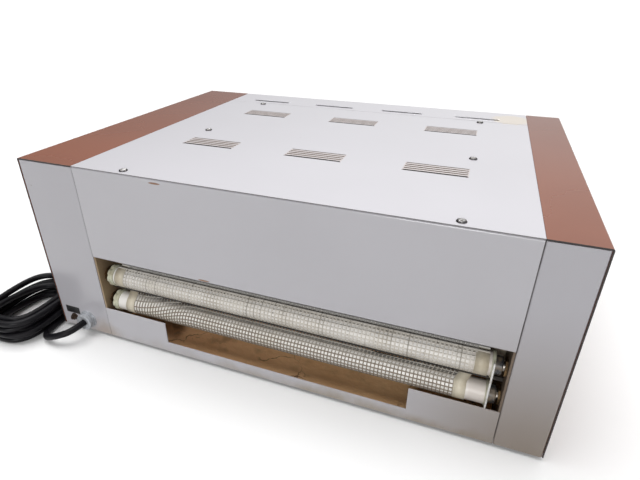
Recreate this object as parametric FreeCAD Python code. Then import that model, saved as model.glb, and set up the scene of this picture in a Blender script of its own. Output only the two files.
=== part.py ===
import FreeCAD, Part
import math
import os

# Bench-top conveyor reflow oven, in millimetres with +Z up. +X runs to the right and +Y runs inwards as
# seen at the outlet end. Everything is placed from the left, outlet-end corner of the case at floor level,
# and moved to the middle of the object's foot when it is saved.

V = FreeCAD.Vector

# Case
case_width = 600.0
case_depth = 422.0
case_height = 234.0
foot_height = 5.0
foot_radius = 11.0
foot_taper = 2.0
foot_inset = 36.0
round_sides = 12
fine_sides = 24
small_sides = 8
left_bay = 79.0
right_bay = 47.0
sheet = 1.2
base_sheet = 1.5
base_rim = 6.0
wall = 2.0
wall_flange = 15.0
bend = 0.8
seam = 0.3
cover_fit = 0.1

# Ends of the case, heights from its underside
mouth_top = 118.0
tab_height = 43.0
lip_height = 13.5
left_tab = 90.0
right_tab = 88.0
hem = 10.0
panel_flange = 17.0
pillar_flange = 9.0
pillar_side = 18.0

# Covers, vents and their screws
control_box = 62.0
cover_fold = 12.0
vent_length = 67.0
vent_width = 2.4
vent_pitch = 5.9
vents_in_group = 5
vent_columns = 3
vent_column_pitch = 137.5
vent_front_row = 129.5
vent_row_pitch = 163.5
louvre_count = 4
louvre_length = 66.0
louvre_pitch = 111.5
louvre_depth = 9.0
louvre_rise = 2.4
louvre_set_back = 14.0
screw_side_inset = 64.0
screw_edge = 8.5
screw_head_radius = 4.7
screw_head_height = 2.2
screw_radius = 2.0
screw_length = 7.0
screw_shoulder = 0.8
screw_crown = 0.4
screw_clearance = 0.25
mid_rail_at = 179.0
mid_rail_width = 24.0
mid_rail_depth = 22.0
side_screw_inset = 9.0

# Rollers and the mesh belt
roller_inset = 18.0
upper_roller_height = 85.7
lower_roller_height = 48.4
roller_radius = 12.0
roller_wall = 2.5
rim_radius = 13.6
left_rim = 8.5
right_rim = 3.0
right_hub = 7.2
right_hub_radius = 9.6
left_end_gap = 6.5
right_end_gap = 1.8
journal_radius = 5.0
journal_run = 4.0
journal_play = 0.05
bearing_radius = 8.0
bearing_flange = 10.0
bearing_flange_thickness = 2.0
bearing_tail = 3.0
belt_thickness = 0.8
belt_clearance = 0.3
belt_side_gap = 0.5
belt_bare_end = 4.5
belt_draw_in = 26.0
belt_drift = 2.9
belt_wrap = 155.0
guide_radius = 2.5
guide_fit = 0.2
guide_overrun = 3.0
edge_guide_radius = 1.0
edge_guide_lap = 25.0

# Heaters
hood_front = 40.0
hood_rear_gap = 9.0
hood_lift = 3.0
hood_height = 44.0
tray_height = 36.0
slab_upper = 24.0
slab_lower = 15.0
element_radius = 4.0
element_fit = 0.2
element_height_in_hood = 10.0
element_height_in_tray = 24.0
element_overrun = 8.0
elements_per_zone = 2
element_pitch = 70.0
zone_first = 35.0
zone_pitch = 147.0
rail_width = 12.0
rail_thickness = 3.0
rail_pitch = 164.0
rail_count = 3
flux_tray_sheet = 1.0
flux_tray_rim = 6.0
flux_tray_gap = 0.5

# Belt drive in the left bay
drive_plane = 10.0
pulley_width = 7.0
pulley_flange = 1.0
pulley_flange_rise = 2.0
tooth_pitch = 5.0
tooth_depth = 1.2
tooth_gap = 1.8
pitch_line = 0.5
roller_teeth = 18
motor_teeth = 12
drive_belt_thickness = 1.5
drive_belt_gap = 0.3
drive_belt_side_gap = 0.3
motor_at = 75.0
motor_height = 58.0
motor_radius = 18.0
gearbox_width = 37.0
motor_can = 28.0
gearbox_length = 20.0
boss_radius = 6.0
boss_length = 3.0
motor_shaft_radius = 3.0
motor_shaft_depth = 8.0
bracket_sheet = 2.0
bracket_width = 46.0
bracket_foot = 22.0
bracket_rise = 24.0

# Electrics in the left bay
relay_width = 45.0
relay_height = 58.0
relay_thickness = 24.0
relay_gap = 12.0
relay_drop = 24.0
relay_terminal = 9.0
relay_terminal_rise = 2.0
terminal_ways = 6
terminal_pitch = 14.0
terminal_width = 24.0
terminal_step = 9.0
terminal_barrier = 18.0
terminal_barrier_thickness = 2.0
terminal_first = 210.0
terminal_from_side = 22.0

# Controls on the far end
control_height = 178.0
controller_bezel = 48.0
controller_cut = 45.0
controller_fit = 0.2
controller_rise = 8.0
controller_depth = 50.0
controller_edge = 1.5
display_width = 38.0
display_height = 17.0
display_depth = 1.0
key_width = 6.0
key_height = 4.0
key_rise = 0.6
preheat_from_middle = -126.0
reflow_from_middle = -60.0
knob_from_middle = 29.0
heater_button_from_middle = 86.0
conveyor_button_from_middle = 128.0
power_switch_from_middle = 189.0
knob_radius = 13.0
knob_skirt_radius = 15.0
knob_skirt = 3.0
knob_height = 16.0
knob_gap = 0.5
knob_flutes = 12
knob_flute = 1.4
pot_bush_radius = 4.5
pot_bush_length = 4.0
pot_shaft_radius = 3.0
pot_body_radius = 12.0
pot_body_length = 14.0
button_bezel_radius = 11.0
button_bezel_rise = 2.0
button_barrel_radius = 8.0
button_barrel_length = 24.0
button_cap_radius = 6.2
button_gap = 0.3
button_rise = 5.0
button_depth = 12.0
switch_width = 21.0
switch_height = 30.0
switch_bezel_rise = 2.0
switch_bezel_edge = 2.0
switch_body_depth = 20.0
rocker_radius = 11.6
rocker_width = 14.6
rocker_gap = 0.3
rocker_crown = 4.5
rocker_tilt = 10.0
rocker_pin_radius = 1.5
rocker_pin_length = 0.9

# Mains lead
cord_diameter = 8.4
cord_chord = 22.5
gland_at = 45.0
gland_height = 17.0
gland_flange_radius = 12.5
gland_flange = 4.0
gland_barrel_radius = 8.0
gland_barrel = 9.0
gland_nut_radius = 11.4
gland_nut_mouth = 8.4
gland_nut_length = 9.0
gland_bore_gap = 0.1
lock_nut_radius = 10.5
lock_nut_thickness = 4.0
earth_at = 21.5
earth_height = 15.0
earth_stud_radius = 2.0
earth_stud_out = 5.0
earth_nut_radius = 4.0
earth_nut_thickness = 3.0
earth_washer_radius = 5.0
earth_washer_thickness = 1.0
cord_lay = 0.2
coil_gap = 0.8
coil_radius = 43.0
coil_run = 36.0
coil_from_side = 52.0
coil_middle = -2.0
coil_layers = 4
coil_lead_in = 18.0
plug_width = 28.0
plug_thickness = 22.0
plug_length = 30.0
plug_round = 5.0
relief_length = 22.0
relief_small_radius = 5.2
relief_large_radius = 7.6
blade_width = 6.3
blade_thickness = 1.5
blade_length = 17.0
blade_pitch = 12.7
earth_pin_radius = 2.4
earth_pin_length = 20.0
earth_pin_drop = 5.5

# Worked out from the sizes above
under = foot_height
top = foot_height + case_height
left_face = left_bay
right_face = case_width - right_bay
left_in = left_face + wall
right_in = right_face - wall
bay_middle = (left_face + right_face) / 2
preheat_at = bay_middle + preheat_from_middle
reflow_at = bay_middle + reflow_from_middle
knob_at = bay_middle + knob_from_middle
heater_button_at = bay_middle + heater_button_from_middle
conveyor_button_at = bay_middle + conveyor_button_from_middle
power_switch_at = bay_middle + power_switch_from_middle
cover_seam = case_depth - control_box
far_end = case_depth
knob_reach = pot_bush_length + knob_gap + knob_height
earth_reach = earth_washer_thickness + earth_stud_out
gland_reach = gland_flange + gland_nut_length
middle_y = (case_depth + knob_reach - gland_reach) / 2
shelf = top - sheet
front_axis = roller_inset
rear_axis = case_depth - roller_inset
upper_axis = under + upper_roller_height
lower_axis = under + lower_roller_height
rim_start = left_in + left_end_gap
barrel_start = rim_start + left_rim
right_hub_end = right_in - bearing_flange_thickness - right_end_gap
right_rim_end = right_hub_end - right_hub
barrel_end = right_rim_end - right_rim
roller_length = barrel_end - barrel_start
belt_start = barrel_start + belt_side_gap
belt_width = barrel_end - belt_bare_end - belt_start
belt_return_width = belt_width - belt_draw_in
belt_middle = belt_start + belt_width / 2
belt_inner_radius = roller_radius + belt_clearance
belt_outer_radius = belt_inner_radius + belt_thickness
belt_top = upper_axis + belt_outer_radius
wrap_turn = math.radians(belt_wrap)
guide_turn = guide_radius + belt_clearance
guide_axis = (upper_axis + lower_axis) / 2
hood_bottom = under + mouth_top + hood_lift
hood_top = hood_bottom + hood_height
hood_rear = cover_seam - hood_rear_gap
rail_top = upper_axis + roller_radius
tray_top = rail_top - rail_thickness
tray_bottom = tray_top - tray_height
tray_rear = case_depth - hood_front
base_floor = under + base_sheet
panel_left = left_face + seam / 2
panel_right = right_face - seam / 2
pulley_left = left_face - bearing_tail - drive_plane
control_z = under + control_height
cord_radius = cord_diameter / 2


def box(x0, x1, y0, y1, z0, z1):
    """A block between two corners."""
    return Part.makeBox(x1 - x0, y1 - y0, z1 - z0, V(x0, y0, z0))


def rod_x(radius, x0, x1, y, z):
    """A round bar along X."""
    return Part.makeCylinder(radius, x1 - x0, V(x0, y, z), V(1, 0, 0))


def skin(rings):
    """A closed solid through rings of corners, with flat facets between one ring and the next."""
    faces = [Part.Face(Part.makePolygon(ring + ring[:1])) for ring in (rings[0], rings[-1])]
    for near, far in zip(rings, rings[1:]):
        for i in range(len(near)):
            corners = [near[i - 1], near[i], far[i], far[i - 1]]
            faces.append(Part.Face(Part.makePolygon(corners + corners[:1])))
    shell = Part.Shell(faces)
    solid = Part.Solid(shell)
    return solid if solid.Volume > 0 else Part.Solid(shell.reversed())


def ring(sides, radius, middle, axis):
    """The corners of a many-sided section about a point, square to an axis."""
    side_a = V(0, 0, 1) if abs(axis.z) < 0.5 * axis.Length else V(1, 0, 0)
    side_a = side_a - axis * (side_a.dot(axis) / axis.dot(axis))
    side_a.normalize()
    side_b = axis.cross(side_a)
    side_b.normalize()
    corners = []
    for i in range(sides):
        turn = 2 * math.pi * (i + 0.5) / sides
        corners.append(middle + side_a * (radius * math.cos(turn)) + side_b * (radius * math.sin(turn)))
    return corners


def bar(sides, radius, start, reach, end_radius=None):
    """Many-sided round stock from a point along a vector, tapered where it has an end radius."""
    foot = V(*start)
    run = V(*reach)
    corners = ring(sides, radius, foot, run)
    if end_radius is None:
        return Part.Face(Part.makePolygon(corners + corners[:1])).extrude(run)
    return skin([corners, ring(sides, end_radius, foot + run, run)])


def flats(radius, sides):
    """Corner radius of a many-sided bore whose flats lie at a given radius."""
    return radius / math.cos(math.pi / sides)


def rounded_wire(corners, place):
    """A closed outline of (a, b, radius) corners; place turns its two coordinates into a point."""
    starts = []
    ends = []
    middles = []
    count = len(corners)
    for i, (a, b, radius) in enumerate(corners):
        here = V(a, b, 0)
        before = V(*corners[i - 1][:2], 0) - here
        after = V(*corners[(i + 1) % count][:2], 0) - here
        before.normalize()
        after.normalize()
        half = before.getAngle(after) / 2
        reach = radius / math.tan(half)
        starts.append(here + before * reach)
        ends.append(here + after * reach)
        inwards = before + after
        if radius > 0:
            inwards.normalize()
            middles.append(here + inwards * (radius / math.sin(half) - radius))
        else:
            middles.append(None)
    edges = []
    for i in range(count):
        if middles[i] is not None:
            arc = Part.Arc(place(*starts[i][:2]), place(*middles[i][:2]), place(*ends[i][:2]))
            edges.append(arc.toShape())
        follow = starts[(i + 1) % count]
        if (follow - ends[i]).Length > 1e-6:
            edges.append(Part.makeLine(place(*ends[i][:2]), place(*follow[:2])))
    return Part.Wire(edges)


def offset_line(points, distance):
    """The line that runs beside a bent line, to the left of its travel, with mitred corners."""
    moved = []
    for i, (a, b) in enumerate(points):
        normals = []
        for j, k in ((i - 1, i), (i, i + 1)):
            if j >= 0 and k < len(points):
                run = V(points[k][0] - points[j][0], points[k][1] - points[j][1], 0)
                run.normalize()
                normals.append(V(-run.y, run.x, 0))
        mitre = normals[0] + normals[-1]
        mitre.normalize()
        mitre = mitre * (distance / mitre.dot(normals[0]))
        moved.append((a + mitre.x, b + mitre.y))
    return moved


def folded(points, thickness, place, draw):
    """A folded sheet: its outer line in section, thickened to the left of travel, bent and drawn out."""
    inner = offset_line(points, thickness)
    last = len(points) - 1
    outline = []
    for i, (a, b) in enumerate(points):
        outline.append((a, b, turn_radius(points, i, thickness) if 0 < i < last else 0.0))
    for i in range(last, -1, -1):
        radius = turn_radius(points, i, thickness) if 0 < i < last else 0.0
        outline.append((*inner[i], 2 * bend + thickness - radius if radius else 0.0))
    return Part.Face(rounded_wire(outline, place)).extrude(draw)


def turn_radius(points, i, thickness):
    """Radius of a fold on the line as drawn: outside where it turns left, inside where it turns right."""
    before = V(points[i][0] - points[i - 1][0], points[i][1] - points[i - 1][1], 0)
    after = V(points[i + 1][0] - points[i][0], points[i + 1][1] - points[i][1], 0)
    return bend + thickness if before.cross(after).z > 0 else bend


def across(x):
    """Places a section of Y and Z at a given X."""
    return lambda y, z: V(x, y, z)


def along(y):
    """Places a section of X and Z at a given Y."""
    return lambda x, z: V(x, y, z)


def upright(z):
    """Places a section of X and Y at a given Z."""
    return lambda x, y: V(x, y, z)


def far_side(shape):
    """The same piece turned over to the other end of the case."""
    return shape.mirror(V(0, case_depth / 2, 0), V(0, 1, 0))


def other_hand(shape, middle):
    """The same piece turned over in X about a middle plane."""
    return shape.mirror(V(middle, 0, 0), V(1, 0, 0))


def group(shapes):
    """Separate solids that share a node."""
    return Part.makeCompound(shapes)


def dip(radius):
    """How far in the mesh turns back between a pair of rollers, on a loop of a given radius."""
    drop = upper_axis + radius - guide_axis
    return front_axis - radius * math.tan(wrap_turn / 2) - drop / math.tan(wrap_turn)


parts = {}
guide_at = dip(belt_outer_radius) - guide_turn / math.sin(wrap_turn)

# Base pan with a rim all round, on four rubber feet
pan_left = sheet + cover_fit
pan_right = case_width - sheet - cover_fit
base_pan = box(pan_left, pan_right, sheet, far_end - sheet, under, under + base_rim)
hollow = box(
    pan_left + base_sheet,
    pan_right - base_sheet,
    sheet + base_sheet,
    far_end - sheet - base_sheet,
    base_floor,
    under + base_rim,
)
base_pan = base_pan.cut(hollow)
parts["base_pan"] = base_pan

feet = []
for x in (foot_inset, case_width - foot_inset):
    for y in (foot_inset, case_depth - foot_inset):
        feet.append(bar(fine_sides, foot_radius - foot_taper, (x, y, 0), (0, 0, foot_height), foot_radius))
parts["rubber_feet"] = group(feet)

# White end posts: channels that close the ends of the two side bays, cut away at the foot over the base rim
post_top = shelf - bend
post_rise = V(0, 0, post_top - under)
left_line = [(pan_left, pillar_side), (pan_left, 0.0)]
left_line += [(left_face - seam / 2, 0.0), (left_face - seam / 2, pillar_flange)]
left_post = folded(left_line, sheet, upright(under), post_rise)
right_line = [(right_face + seam / 2, pillar_flange), (right_face + seam / 2, 0.0)]
right_line += [(pan_right, 0.0), (pan_right, pillar_side)]
right_post = folded(right_line, sheet, upright(under), post_rise)
foot_relief = box(0, case_width, sheet, pillar_side, under, under + base_rim + cover_fit)
screw_z = under + case_height / 2
thread_left = bar(small_sides, screw_radius, (0, side_screw_inset, screw_z), (2 * pan_left + sheet, 0, 0))
thread_right = other_hand(thread_left, case_width / 2)
left_post = left_post.cut(foot_relief).cut(thread_left)
right_post = right_post.cut(foot_relief).cut(thread_right)
parts["left_rear_pillar"] = far_side(left_post)
parts["right_rear_pillar"] = far_side(right_post)
parts["right_front_pillar"] = right_post
gland_z = under + gland_height
earth_z = under + earth_height
gland_hole = bar(fine_sides, gland_barrel_radius, (gland_at, -sheet, gland_z), (0, 3 * sheet, 0))
earth_hole = bar(small_sides, earth_stud_radius, (earth_at, -sheet, earth_z), (0, 3 * sheet, 0))
parts["left_front_pillar"] = left_post.cut(gland_hole).cut(earth_hole)

# Brown side covers: the top and the outer side of each bay in one folded sheet
cover_line = [(panel_left - seam, top), (0.0, top), (0.0, under)]
cover_draw = V(0, case_depth, 0)
left_cover = folded(cover_line, sheet, along(0.0), cover_draw)
right_line = [(case_width, under), (case_width, top), (panel_right + seam, top)]
right_cover = folded(right_line, sheet, along(0.0), cover_draw)
hole_radius = screw_radius + screw_clearance
side_screw_rows = (side_screw_inset, case_depth - side_screw_inset)
for y in side_screw_rows:
    side_hole = bar(small_sides, hole_radius, (-sheet, y, screw_z), (3 * sheet, 0, 0))
    left_cover = left_cover.cut(side_hole)
    right_cover = right_cover.cut(other_hand(side_hole, case_width / 2))
parts["left_side_cover"] = left_cover
parts["right_side_cover"] = right_cover

# Inner side walls that carry the rollers and the heaters, flanged into the bays at foot and head
wall_line = [(left_face - wall_flange, base_floor), (left_in, base_floor)]
wall_line += [(left_in, shelf), (left_face - wall_flange, shelf)]
wall_draw = V(0, case_depth - 2 * sheet, 0)
left_wall = folded(wall_line, wall, along(sheet), wall_draw)
right_wall_line = [(right_face + wall_flange, shelf), (right_in, shelf)]
right_wall_line += [(right_in, base_floor), (right_face + wall_flange, base_floor)]
right_wall = folded(right_wall_line, wall, along(sheet), wall_draw)
end_relief = box(0, case_width, 0, pillar_flange + cover_fit, shelf - wall - bend, shelf)
rim_relief = box(0, case_width, 0, sheet + base_sheet, under, under + base_rim)
post_side = box(left_face - wall_flange, left_face, 0, pillar_flange + cover_fit, under, top)
post_side_right = box(right_face, right_face + wall_flange, 0, pillar_flange + cover_fit, under, top)
for relief in (end_relief.common(post_side), end_relief.common(post_side_right), rim_relief):
    left_wall = left_wall.cut(relief).cut(far_side(relief))
    right_wall = right_wall.cut(relief).cut(far_side(relief))
axes = [(y, z) for y in (front_axis, rear_axis) for z in (upper_axis, lower_axis)]
element_rows = []
for zone in range(2):
    for i in range(elements_per_zone):
        y = hood_front + zone_first + zone * zone_pitch + i * element_pitch
        element_rows.append((y, hood_bottom + element_height_in_hood))
        element_rows.append((y, tray_bottom + element_height_in_tray))
openings = [(y, z, small_sides, bearing_radius) for y, z in axes]
openings += [(y, z, small_sides, element_radius + element_fit) for y, z in element_rows]
guide_hole = flats(guide_radius + guide_fit, small_sides)
openings += [(y, guide_axis, small_sides, guide_hole) for y in (guide_at, case_depth - guide_at)]
for y, z, sides, radius in openings:
    left_wall = left_wall.cut(bar(sides, radius, (left_face - wall, y, z), (3 * wall, 0, 0)))
    right_wall = right_wall.cut(bar(sides, radius, (right_in - wall, y, z), (3 * wall, 0, 0)))
parts["left_inner_wall"] = left_wall
parts["right_inner_wall"] = right_wall

# End panels of the oven bay: a folded panel over the mouth, a plate with a wide notch under it
panel_draw = V(panel_right - panel_left, 0, 0)
upper_line = [(panel_flange, shelf), (0.0, shelf), (0.0, under + mouth_top), (hem, under + mouth_top)]
fold_ends = group(
    [
        box(left_face, left_in + cover_fit, sheet, 2 * panel_flange, under, top),
        box(right_in - cover_fit, right_face, sheet, 2 * panel_flange, under, top),
    ]
)
upper_panel = folded(upper_line, sheet, across(panel_left), panel_draw).cut(fold_ends)
lower_panel = box(panel_left, panel_right, 0, sheet, under, under + tab_height)
notch_left = left_face + left_tab
notch_right = right_face - right_tab
notch = box(notch_left, notch_right, -sheet, 2 * sheet, under + lip_height, under + 2 * tab_height)
lower_panel = lower_panel.cut(notch)
screw_columns = (left_face + screw_side_inset, right_face - screw_side_inset)
screw_rows = (screw_edge, mid_rail_at, cover_seam - screw_edge)
for x in screw_columns:
    upper_panel = upper_panel.cut(bar(small_sides, screw_radius, (x, screw_edge, top), (0, 0, -3 * sheet)))
parts["front_upper_panel"] = upper_panel
parts["front_lower_panel"] = lower_panel
parts["rear_lower_panel"] = far_side(lower_panel)

# Control panel on the far end, with the cut-outs for its instruments
control_line = [(far_end - y, z) for y, z in upper_line][::-1]
control_panel = folded(control_line, sheet, across(panel_left), panel_draw).cut(far_side(fold_ends))
half_cut = controller_cut / 2
switch_half_x = switch_width / 2 - switch_bezel_edge
switch_half_z = switch_height / 2 - switch_bezel_edge
windows = [(preheat_at, half_cut, half_cut), (reflow_at, half_cut, half_cut)]
windows.append((power_switch_at, switch_half_x, switch_half_z))
for x, half_x, half_z in windows:
    window = box(x - half_x, x + half_x, far_end - sheet, far_end, control_z - half_z, control_z + half_z)
    control_panel = control_panel.cut(window)
for x, radius in (
    (knob_at, pot_bush_radius),
    (heater_button_at, button_barrel_radius),
    (conveyor_button_at, button_barrel_radius),
):
    hole = bar(round_sides, radius, (x, far_end - 2 * sheet, control_z), (0, 3 * sheet, 0))
    control_panel = control_panel.cut(hole)
parts["rear_control_panel"] = control_panel

# Top cover with its groups of vent slots and its screw holes
top_cover = box(panel_left, panel_right, 0, cover_seam - seam / 2, shelf, top)
slots = []
group_depth = (vents_in_group - 1) * vent_pitch + vent_width
for column in range(vent_columns):
    x0 = bay_middle + (column - (vent_columns - 1) / 2) * vent_column_pitch - vent_length / 2
    for row in range(2):
        for i in range(vents_in_group):
            y0 = vent_front_row + row * vent_row_pitch - group_depth / 2 + i * vent_pitch
            slots.append(box(x0, x0 + vent_length, y0, y0 + vent_width, shelf, top))
screw_spots = [(x, y) for x in screw_columns for y in screw_rows]
holes = [bar(small_sides, hole_radius, (x, y, shelf), (0, 0, sheet)) for x, y in screw_spots]
parts["top_cover"] = top_cover.cut(group(slots + holes))

# Cover of the control box: a folded strip with a row of pressed louvres that open to the outlet end
strip_line = [(far_end, top), (cover_seam + seam / 2, top), (cover_seam + seam / 2, top - cover_fold)]
strip = folded(strip_line, sheet, across(panel_left), panel_draw)
fold_space = box(left_face, left_in + cover_fit, cover_seam, cover_seam + 2 * sheet, under, shelf)
strip = strip.cut(fold_space).cut(other_hand(fold_space, bay_middle))
louvre_front = cover_seam + louvre_set_back
louvre_back = louvre_front + louvre_depth
crown = [(louvre_front, shelf), (louvre_front, top + louvre_rise), (louvre_back, top), (louvre_back, shelf)]
bore = [(louvre_front - sheet, shelf - sheet), (louvre_front - sheet, top + louvre_rise - sheet)]
bore += [(louvre_front, top + louvre_rise - sheet), (louvre_back - 2 * sheet, shelf - sheet)]
for i in range(louvre_count):
    x0 = bay_middle + (i - (louvre_count - 1) / 2) * louvre_pitch - louvre_length / 2
    x1 = x0 + louvre_length
    hood = Part.Face(Part.makePolygon([V(x0, *p) for p in crown + crown[:1]]))
    hood = hood.extrude(V(louvre_length, 0, 0))
    cheek = louvre_rise
    for corner, way in ((x0, 1), (x1, -1)):
        slope = [V(corner, louvre_front - sheet, top)]
        slope.append(V(corner + way * cheek, louvre_front - sheet, top + louvre_rise))
        slope.append(V(corner, louvre_front - sheet, top + louvre_rise))
        waste = Part.Face(Part.makePolygon(slope + slope[:1]))
        hood = hood.cut(waste.extrude(V(0, louvre_depth + sheet, 0)))
    inside = Part.Face(Part.makePolygon([V(x0 + cheek, *p) for p in bore + bore[:1]]))
    strip = strip.fuse(hood).cut(inside.extrude(V(louvre_length - 2 * cheek, 0, 0)))
parts["rear_top_cover"] = strip.removeSplitter()


# Truss-head screws of the covers
def truss_screw(point, way):
    """A low domed screw whose head sits on a point and faces a given way."""
    foot = V(*point)
    out = V(*way)
    half = out * (screw_head_height / 2)
    shoulder = screw_head_radius * screw_shoulder
    head = bar(round_sides, screw_head_radius, foot, half, shoulder)
    crown = bar(round_sides, shoulder, foot + half, half, screw_head_radius * screw_crown)
    shank = bar(small_sides, screw_radius, foot, out * -screw_length)
    return head.fuse([crown, shank])


screws = [truss_screw((x, y, top), (0, 0, 1)) for x, y in screw_spots]
screws += [truss_screw((0, y, screw_z), (-1, 0, 0)) for y in side_screw_rows]
screws += [truss_screw((case_width, y, screw_z), (1, 0, 0)) for y in side_screw_rows]
parts["cover_screws"] = group(screws)

# Cross rail under the middle of the top cover, and the bulkhead in front of the control box
rail_back = mid_rail_at + mid_rail_width / 2
rail_front = mid_rail_at - mid_rail_width / 2
bay_draw = V(right_in - left_in, 0, 0)
rail_line = [(rail_back, shelf - mid_rail_depth), (rail_back, shelf)]
rail_line += [(rail_front, shelf), (rail_front, shelf - mid_rail_depth)]
cross_rail = folded(rail_line, sheet, across(left_in), bay_draw)
bulk_y = cover_seam + seam / 2
floor_z = under + mouth_top + 2 * sheet
floor_end = far_end - sheet - bend
bulk_line = [(floor_end, floor_z), (bulk_y, floor_z), (bulk_y, shelf), (bulk_y - panel_flange, shelf)]
bulkhead = folded(bulk_line, sheet, across(left_in), bay_draw)
thread_drop = (0, 0, -3 * sheet)
for x in screw_columns:
    cross_rail = cross_rail.cut(bar(small_sides, screw_radius, (x, mid_rail_at, top), thread_drop))
    bulkhead = bulkhead.cut(bar(small_sides, screw_radius, (x, cover_seam - screw_edge, top), thread_drop))
parts["mid_cross_rail"] = cross_rail
parts["rear_bulkhead"] = bulkhead

# Heater hood over the belt and heater tray inside the belt loop, lined with slabs and crossed by elements
hood_line = [(hood_rear, hood_bottom), (hood_rear, hood_top)]
hood_line += [(hood_front, hood_top), (hood_front, hood_bottom)]
parts["upper_heater_hood"] = folded(hood_line, sheet, across(left_in), bay_draw)
tray_line = [(hood_front, tray_top), (hood_front, tray_bottom)]
tray_line += [(tray_rear, tray_bottom), (tray_rear, tray_top)]
parts["lower_heater_tray"] = folded(tray_line, sheet, across(left_in), bay_draw)
slab_front = hood_front + sheet + bend
upper_slab = box(
    left_in,
    right_in,
    slab_front,
    hood_rear - sheet - bend,
    hood_top - sheet - slab_upper,
    hood_top - sheet,
)
lower_slab = box(
    left_in,
    right_in,
    slab_front,
    tray_rear - sheet - bend,
    tray_bottom + sheet,
    tray_bottom + sheet + slab_lower,
)
parts["insulation_slabs"] = group([upper_slab, lower_slab])
element_start = left_face - element_overrun
element_run = (right_face - left_face + 2 * element_overrun, 0, 0)
elements = [bar(small_sides, element_radius, (element_start, y, z), element_run) for y, z in element_rows]
parts["heater_elements"] = group(elements)

# Flat rails that carry the upper run of the belt across the heater tray
rails = []
for i in range(rail_count):
    x = bay_middle + (i - (rail_count - 1) / 2) * rail_pitch
    rails.append(box(x - rail_width / 2, x + rail_width / 2, hood_front, tray_rear, tray_top, rail_top))
parts["belt_support_rails"] = group(rails)

# Loose tray on the base that catches flux
pan = box(
    left_in + flux_tray_gap,
    right_in - flux_tray_gap,
    sheet + base_sheet + flux_tray_gap,
    far_end - sheet - base_sheet - flux_tray_gap,
    base_floor,
    base_floor + flux_tray_rim,
)
pan_hollow = box(
    left_in + flux_tray_gap + flux_tray_sheet,
    right_in - flux_tray_gap - flux_tray_sheet,
    sheet + base_sheet + flux_tray_gap + flux_tray_sheet,
    far_end - sheet - base_sheet - flux_tray_gap - flux_tray_sheet,
    base_floor + flux_tray_sheet,
    base_floor + flux_tray_rim,
)
parts["flux_tray"] = pan.cut(pan_hollow)


# Mesh belt: one loop that wraps the four rollers, dips behind a guide rod between each pair and is drawn
# in there to a narrower return run. A thin pin on the end panel stands at the right end of the rollers
def loop_outline(radius):
    """The section of a loop that wraps the four rollers and dips between each pair, at a given radius."""
    reach = radius * math.tan(wrap_turn / 2)
    turn_back = guide_turn + belt_outer_radius - radius
    corners = [(front_axis - reach, lower_axis - radius, radius)]
    corners.append((rear_axis + reach, lower_axis - radius, radius))
    corners.append((case_depth - dip(radius), guide_axis, turn_back))
    corners.append((rear_axis + reach, upper_axis + radius, radius))
    corners.append((front_axis - reach, upper_axis + radius, radius))
    corners.append((dip(radius), guide_axis, turn_back))
    return rounded_wire(corners, across(belt_start))


belt_draw = V(belt_width, 0, 0)
loop = Part.Face(loop_outline(belt_outer_radius)).extrude(belt_draw)
loop = loop.cut(Part.Face(loop_outline(belt_inner_radius)).extrude(belt_draw))
half = belt_width / 2
half_return = belt_return_width / 2
return_middle = belt_middle - belt_drift
off_upper = upper_axis + belt_outer_radius * math.cos(wrap_turn)
on_lower = lower_axis - belt_outer_radius * math.cos(wrap_turn)
taper = [
    (belt_middle - half, belt_top + belt_thickness),
    (belt_middle - half, off_upper),
    (return_middle - half_return, on_lower),
    (return_middle - half_return, under),
    (return_middle + half_return, under),
    (return_middle + half_return, on_lower),
    (belt_middle + half, off_upper),
    (belt_middle + half, belt_top + belt_thickness),
]
blank = Part.Face(Part.makePolygon([V(x, 0, z) for x, z in taper + taper[:1]]))
parts["conveyor_belt"] = loop.common(blank.extrude(V(0, case_depth, 0)))
guide_start = left_face - guide_overrun
guide_run = (right_face + guide_overrun - guide_start, 0, 0)
guide = bar(small_sides, guide_radius, (guide_start, guide_at, guide_axis), guide_run)
parts["belt_guide_rods"] = group([guide, far_side(guide)])
pin_foot = (right_rim_end - right_rim / 2, sheet + edge_guide_radius, under + tab_height - edge_guide_lap)
pin_run = (0, 0, upper_axis + rim_radius - pin_foot[2])
parts["belt_edge_pin"] = bar(small_sides, flats(edge_guide_radius, small_sides), pin_foot, pin_run)

# Rollers: a tube with a turned journal at each end, running in flanged bushes in the walls
left_stub_end = left_face - bearing_tail - journal_run
drive_stub_end = pulley_left - journal_run
left_hub = left_in + bearing_flange_thickness
right_stub_end = right_face + bearing_tail + journal_run


def roller(name, y, z, stub_end):
    """A roller tube and its pair of end journals."""
    bore = bar(round_sides, roller_radius - roller_wall, (barrel_start, y, z), (roller_length, 0, 0))
    parts[name + "_roller"] = rod_x(roller_radius, barrel_start, barrel_end, y, z).cut(bore)
    ends = []
    for steps in (
        [(stub_end, rim_start, journal_radius), (rim_start, barrel_start, rim_radius)],
        [
            (barrel_end, right_rim_end, rim_radius),
            (right_rim_end, right_hub_end, right_hub_radius),
            (right_hub_end, right_stub_end, journal_radius),
        ],
    ):
        turned = []
        for start, end, radius in steps:
            sides = round_sides if radius == journal_radius else fine_sides
            turned.append(bar(sides, radius, (start, y, z), (end - start, 0, 0)))
        ends.append(turned[0].fuse(turned[1:]))
    parts[name + "_journals"] = group(ends)


roller("front_upper", front_axis, upper_axis, left_stub_end)
roller("front_lower", front_axis, lower_axis, drive_stub_end)
roller("rear_upper", rear_axis, upper_axis, left_stub_end)
roller("rear_lower", rear_axis, lower_axis, left_stub_end)

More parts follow.
